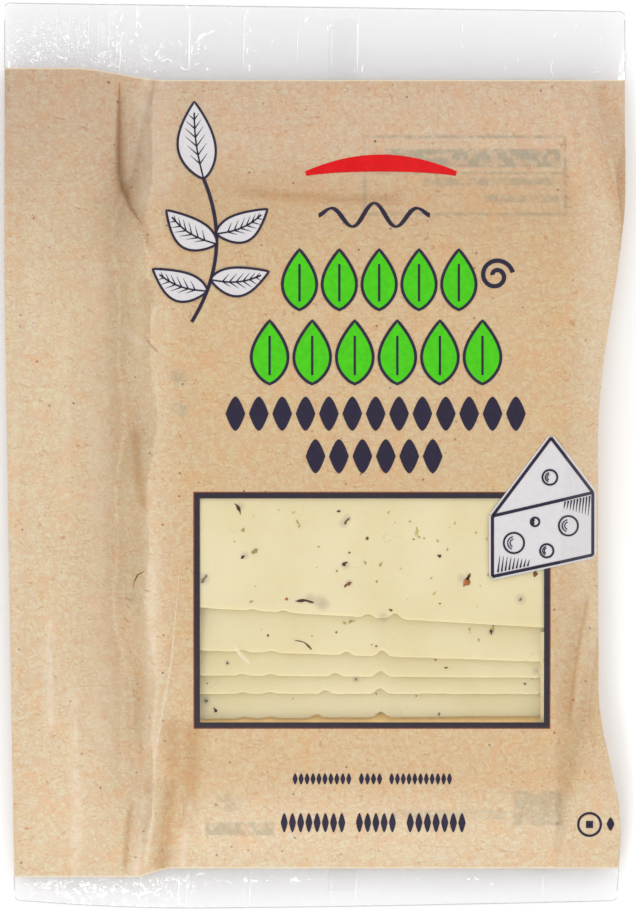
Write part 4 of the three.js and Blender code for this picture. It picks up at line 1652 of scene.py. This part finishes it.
def add_leaf(x, y, length, width, turn, bend, fills, lines):
    """A white leaf with a dark rim, a midline and short side strokes."""
    fill, around, midline = leaf(x, y, length, width, turn, bend, lift=SPRIG_LIFT)
    fills.append(fill)
    lines.append(stroke("rim", around, 0.6, 80, front, SPRIG_LINE_LIFT))
    lines.append(stroke("vein", lambda s: midline(s * 0.86), 0.42, 24, front, SPRIG_LINE_LIFT))
    angle = math.radians(turn)
    for i in range(1, 7):
        share = 0.08 + 0.115 * i
        foot_x, foot_y = (float(c) for c in midline(np.array(share)))
        reach = width * 0.4 * math.sin(math.pi * (share + 0.1)) ** 0.7
        for side in (-1, 1):
            away = angle + side * math.radians(42)
            tip = (foot_x + reach * math.cos(away), foot_y + reach * math.sin(away))
            pen = line_path(foot_x, foot_y, *tip)
            lines.append(stroke("side", pen, lambda s: 0.34 * (1.15 - s), 8, front, SPRIG_LINE_LIFT))


# The wedge's corners, from the lower left round to the tip
WEDGE_CORNERS = ((45.5, -31), (71.4, -25.5), (71.4, -9.5), (45.5, -15.5), (60.5, 4.5))
# Its pen strokes: first x and step, a place on its edge and that edge's slope, then each stroke's
# lean, reach and change of reach
HATCHES = (
    (46.9, 0.95, 45.5, -30.2, 0.21, 0.5, 4.2, -0.32),
    (70.6, -0.8, 71.4, -10.2, 0.22, -0.4, -5, 0.4),
)
HATCH_STROKES = 9
# The wedge's holes: x, y and radius
HOLES = ((51, -22.4, 2.6), (59.4, -24.4, 1.7), (65, -18, 2.5), (56.4, -17, 1.1), (60.2, -5.6, 1.9))


def wedge(fills, lines):
    """A generic wedge with round holes over the window's upper right corner."""
    low_left, low_right, high_right, high_left, tip = WEDGE_CORNERS
    faces = ((low_left, low_right, high_left, high_right), (high_left, high_right, tip, tip))
    for a, b, c, d in faces:
        fills.append(ruled("face", line_path(*a, *b), line_path(*c, *d), 34, 16, front, WEDGE_LIFT))
    rims = (
        (low_left, low_right), (low_right, high_right), (high_right, tip), (tip, high_left),
        (high_left, low_left), (high_left, high_right),
    )
    for a, b in rims:
        lines.append(stroke("rim", line_path(*a, *b), 0.8, 60, front, WEDGE_LINE_LIFT))
    for a, b in rims[:-1]:
        fills.append(stroke("white edge", line_path(*a, *b), 1.7, 60, front, WEDGE_EDGE_LIFT))
    for x, y, radius in HOLES:
        lines.append(stroke("hole", arc_path(x, y, radius, 0, 360), 0.5, 30, front, WEDGE_LINE_LIFT))
        for share in (0.62, 0.38):
            inner = arc_path(x, y, radius * share, 100, 250)
            lines.append(stroke("shade", inner, 0.3, 14, front, WEDGE_LINE_LIFT))
    for i in range(HATCH_STROKES):
        for first, step, edge_x, edge_y, slope, lean, reach, change in HATCHES:
            x = first + i * step
            y = edge_y + (x - edge_x) * slope
            pen = line_path(x, y, x + lean, y + reach + change * i)
            lines.append(stroke("shade", pen, lambda s: 0.4 * (1.2 - s), 8, front, WEDGE_LINE_LIFT))


# The back's print, each by left, bottom, right and top
WHITE_PANEL = (-31, -99, -7, -76)
BACK_BOX = (12.7, 61.8, 64.3, 81.9)
BACK_BARS = ((18, 74.4, 63, 78.6), (28, 69.6, 62.5, 71), (43.5, 65.2, 62.5, 66.6))
CODE_BARS = (-29, -95, -9.5, -78)
CODE_WIDTHS = (0.35, 0.5, 0.8)
CODE_GAPS = (0.4, 0.6, 0.9)
CODE_SEED = 4


class PACK_OT_back_print(PackOperator, bpy.types.Operator):
    """Lays the plain panels and bars on the back"""

    bl_idname = "pack.back_print"
    bl_label = "Back print"

    def execute(self, context):
        navy = ink_material("back_ink", self.colours.navy[:])
        white = ink_material("back_white_ink", self.colours.white[:], uneven=0.02)
        panel = bar("panel", *WHITE_PANEL, back, BACK_PANEL_LIFT, up=-1)
        printed([panel], "back_white_panel", white)
        printed(panel_shapes() + code_bars(), "back_panel_lines", navy)
        return {"FINISHED"}


def panel_shapes():
    """A plain box of bars, as on the back of any food pack."""
    shapes = []
    left, bottom, right, top = BACK_BOX
    for a, b in (
        ((left, bottom), (right, bottom)), ((right, bottom), (right, top)),
        ((right, top), (left, top)), ((left, top), (left, bottom)),
    ):
        shapes.append(stroke("box", line_path(*a, *b), 0.5, 40, back, BACK_LINE_LIFT, up=-1))
    for place in BACK_BARS:
        shapes.append(bar("line", *place, back, BACK_LINE_LIFT, up=-1))
    return shapes


def code_bars():
    """Plain upright bars on the white panel."""
    draw = random.Random(CODE_SEED)
    bars = []
    x, bottom, right, top = CODE_BARS
    while x < right:
        width = draw.choice(CODE_WIDTHS)
        bars.append(bar("code", x, bottom, x + width, top, back, BACK_LINE_LIFT, up=-1, step=3))
        x += width + draw.choice(CODE_GAPS)
    return bars


class PACK_OT_stage(PackOperator, bpy.types.Operator):
    """Sets the pale floor, the soft lights and the camera"""

    bl_idname = "pack.stage"
    bl_label = "Stage"

    def execute(self, context):
        bpy.ops.object.select_all(action="DESELECT")
        bpy.ops.mesh.primitive_plane_add(size=FLOOR_SIZE, location=(0, 0, -FLOOR_DROP))
        floor = bpy.context.object
        floor.name = "floor"
        floor.data.materials.append(floor_material())
        floor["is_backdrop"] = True
        scene = bpy.context.scene
        scene.view_settings.view_transform = "Standard"
        world = bpy.data.worlds.new("studio")
        world.use_nodes = True
        background = world.node_tree.nodes["Background"]
        background.inputs["Color"].default_value = (1, 1, 1, 1)
        background.inputs["Strength"].default_value = STUDIO_BRIGHTNESS
        scene.world = world
        for name, place, size, power in LIGHTS:
            add_light(name, place, size, power)
        add_camera(self.sizes)
        return {"FINISHED"}


FLOOR_SIZE = 6
FLOOR_DROP = 0.0004
STUDIO_BRIGHTNESS = 0.78
# Name, place in metres, size in metres and power in watts
LIGHTS = (
    ("key", (-0.15, -0.55, 0.32), 0.35, 1.5),
    ("fill", (0.6, 0.35, 0.4), 0.4, 1.25),
    ("key_top", (0.25, 1.1, 0.42), 0.5, 2.3),
    ("glint_left", (-0.5, 0.1, 0.75), 0.04, 0.34),
    ("glint_corner", (-0.35, 0.45, 0.9), 0.04, 0.34),
    ("glint_right", (0.5, 0.25, 0.8), 0.04, 0.3),
    ("glint_low", (-0.55, -0.35, 0.9), 0.04, 0.3),
)


def add_light(name, place, size, power):
    bpy.ops.object.light_add(type="AREA", location=place)
    light = bpy.context.object
    light.name = name
    light.data.size = size
    light.data.energy = power
    x, y, z = place
    light.rotation_euler = (math.atan2(math.hypot(x, y), z), 0, math.atan2(y, x) + math.pi / 2)


# The photograph's frame and where the pack lies in it
FRAME_WIDTH_PX = 636
FRAME_HEIGHT_PX = 918
PACK_MIDDLE_X_PX = 314.75
PACK_MIDDLE_Y_PX = 455.5
MM_PER_PX = 0.257
SENSOR_MM = 36


def add_camera(sizes):
    """A long lens straight above, with the pack's top end up in the picture."""
    frame_height = FRAME_HEIGHT_PX * MM_PER_PX
    distance = sizes.lens * frame_height / SENSOR_MM
    x = (FRAME_WIDTH_PX / 2 - PACK_MIDDLE_X_PX) * MM_PER_PX
    y = (PACK_MIDDLE_Y_PX - FRAME_HEIGHT_PX / 2) * MM_PER_PX
    camera = bpy.data.cameras.new("camera")
    camera.lens = sizes.lens
    camera.sensor_fit = "VERTICAL"
    camera.sensor_height = SENSOR_MM
    camera.clip_end = 20
    holder = bpy.data.objects.new("camera", camera)
    holder.location = (x * MM, y * MM, (distance + END_MID) * MM)
    bpy.context.collection.objects.link(holder)
    bpy.context.scene.camera = holder


class PACK_PT_panel(bpy.types.Panel):
    """Lists the pack's sizes, colours and steps"""

    bl_label = "Cheese pack"
    bl_idname = "PACK_PT_panel"
    bl_space_type = "VIEW_3D"
    bl_region_type = "UI"
    bl_category = "Cheese pack"

    def draw(self, context):
        for group in (context.scene.pack_sizes, context.scene.pack_colours):
            for name in group.__annotations__:
                self.layout.prop(group, name)
        for step in STEPS:
            self.layout.operator(step.bl_idname)


STEPS = (
    PACK_OT_film,
    PACK_OT_slices,
    PACK_OT_flecks,
    PACK_OT_window_frame,
    PACK_OT_front_print,
    PACK_OT_drawings,
    PACK_OT_back_print,
    PACK_OT_stage,
)
CLASSES = (PackColours, PackSizes, *STEPS, PACK_PT_panel)


def register():
    for each in CLASSES:
        bpy.utils.register_class(each)
    bpy.types.Scene.pack_colours = bpy.props.PointerProperty(type=PackColours)
    bpy.types.Scene.pack_sizes = bpy.props.PointerProperty(type=PackSizes)


def unregister():
    del bpy.types.Scene.pack_sizes
    del bpy.types.Scene.pack_colours
    for each in reversed(CLASSES):
        bpy.utils.unregister_class(each)


def main():
    register()
    for step in STEPS:
        group, name = step.bl_idname.split(".")
        getattr(getattr(bpy.ops, group), name)()
    boxes = {"cad": CAD_BOX, "visual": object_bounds()}
    {name: [list(corner) for corner in box] for name, box in boxes.items()}


if __name__ == "__main__":
    main()
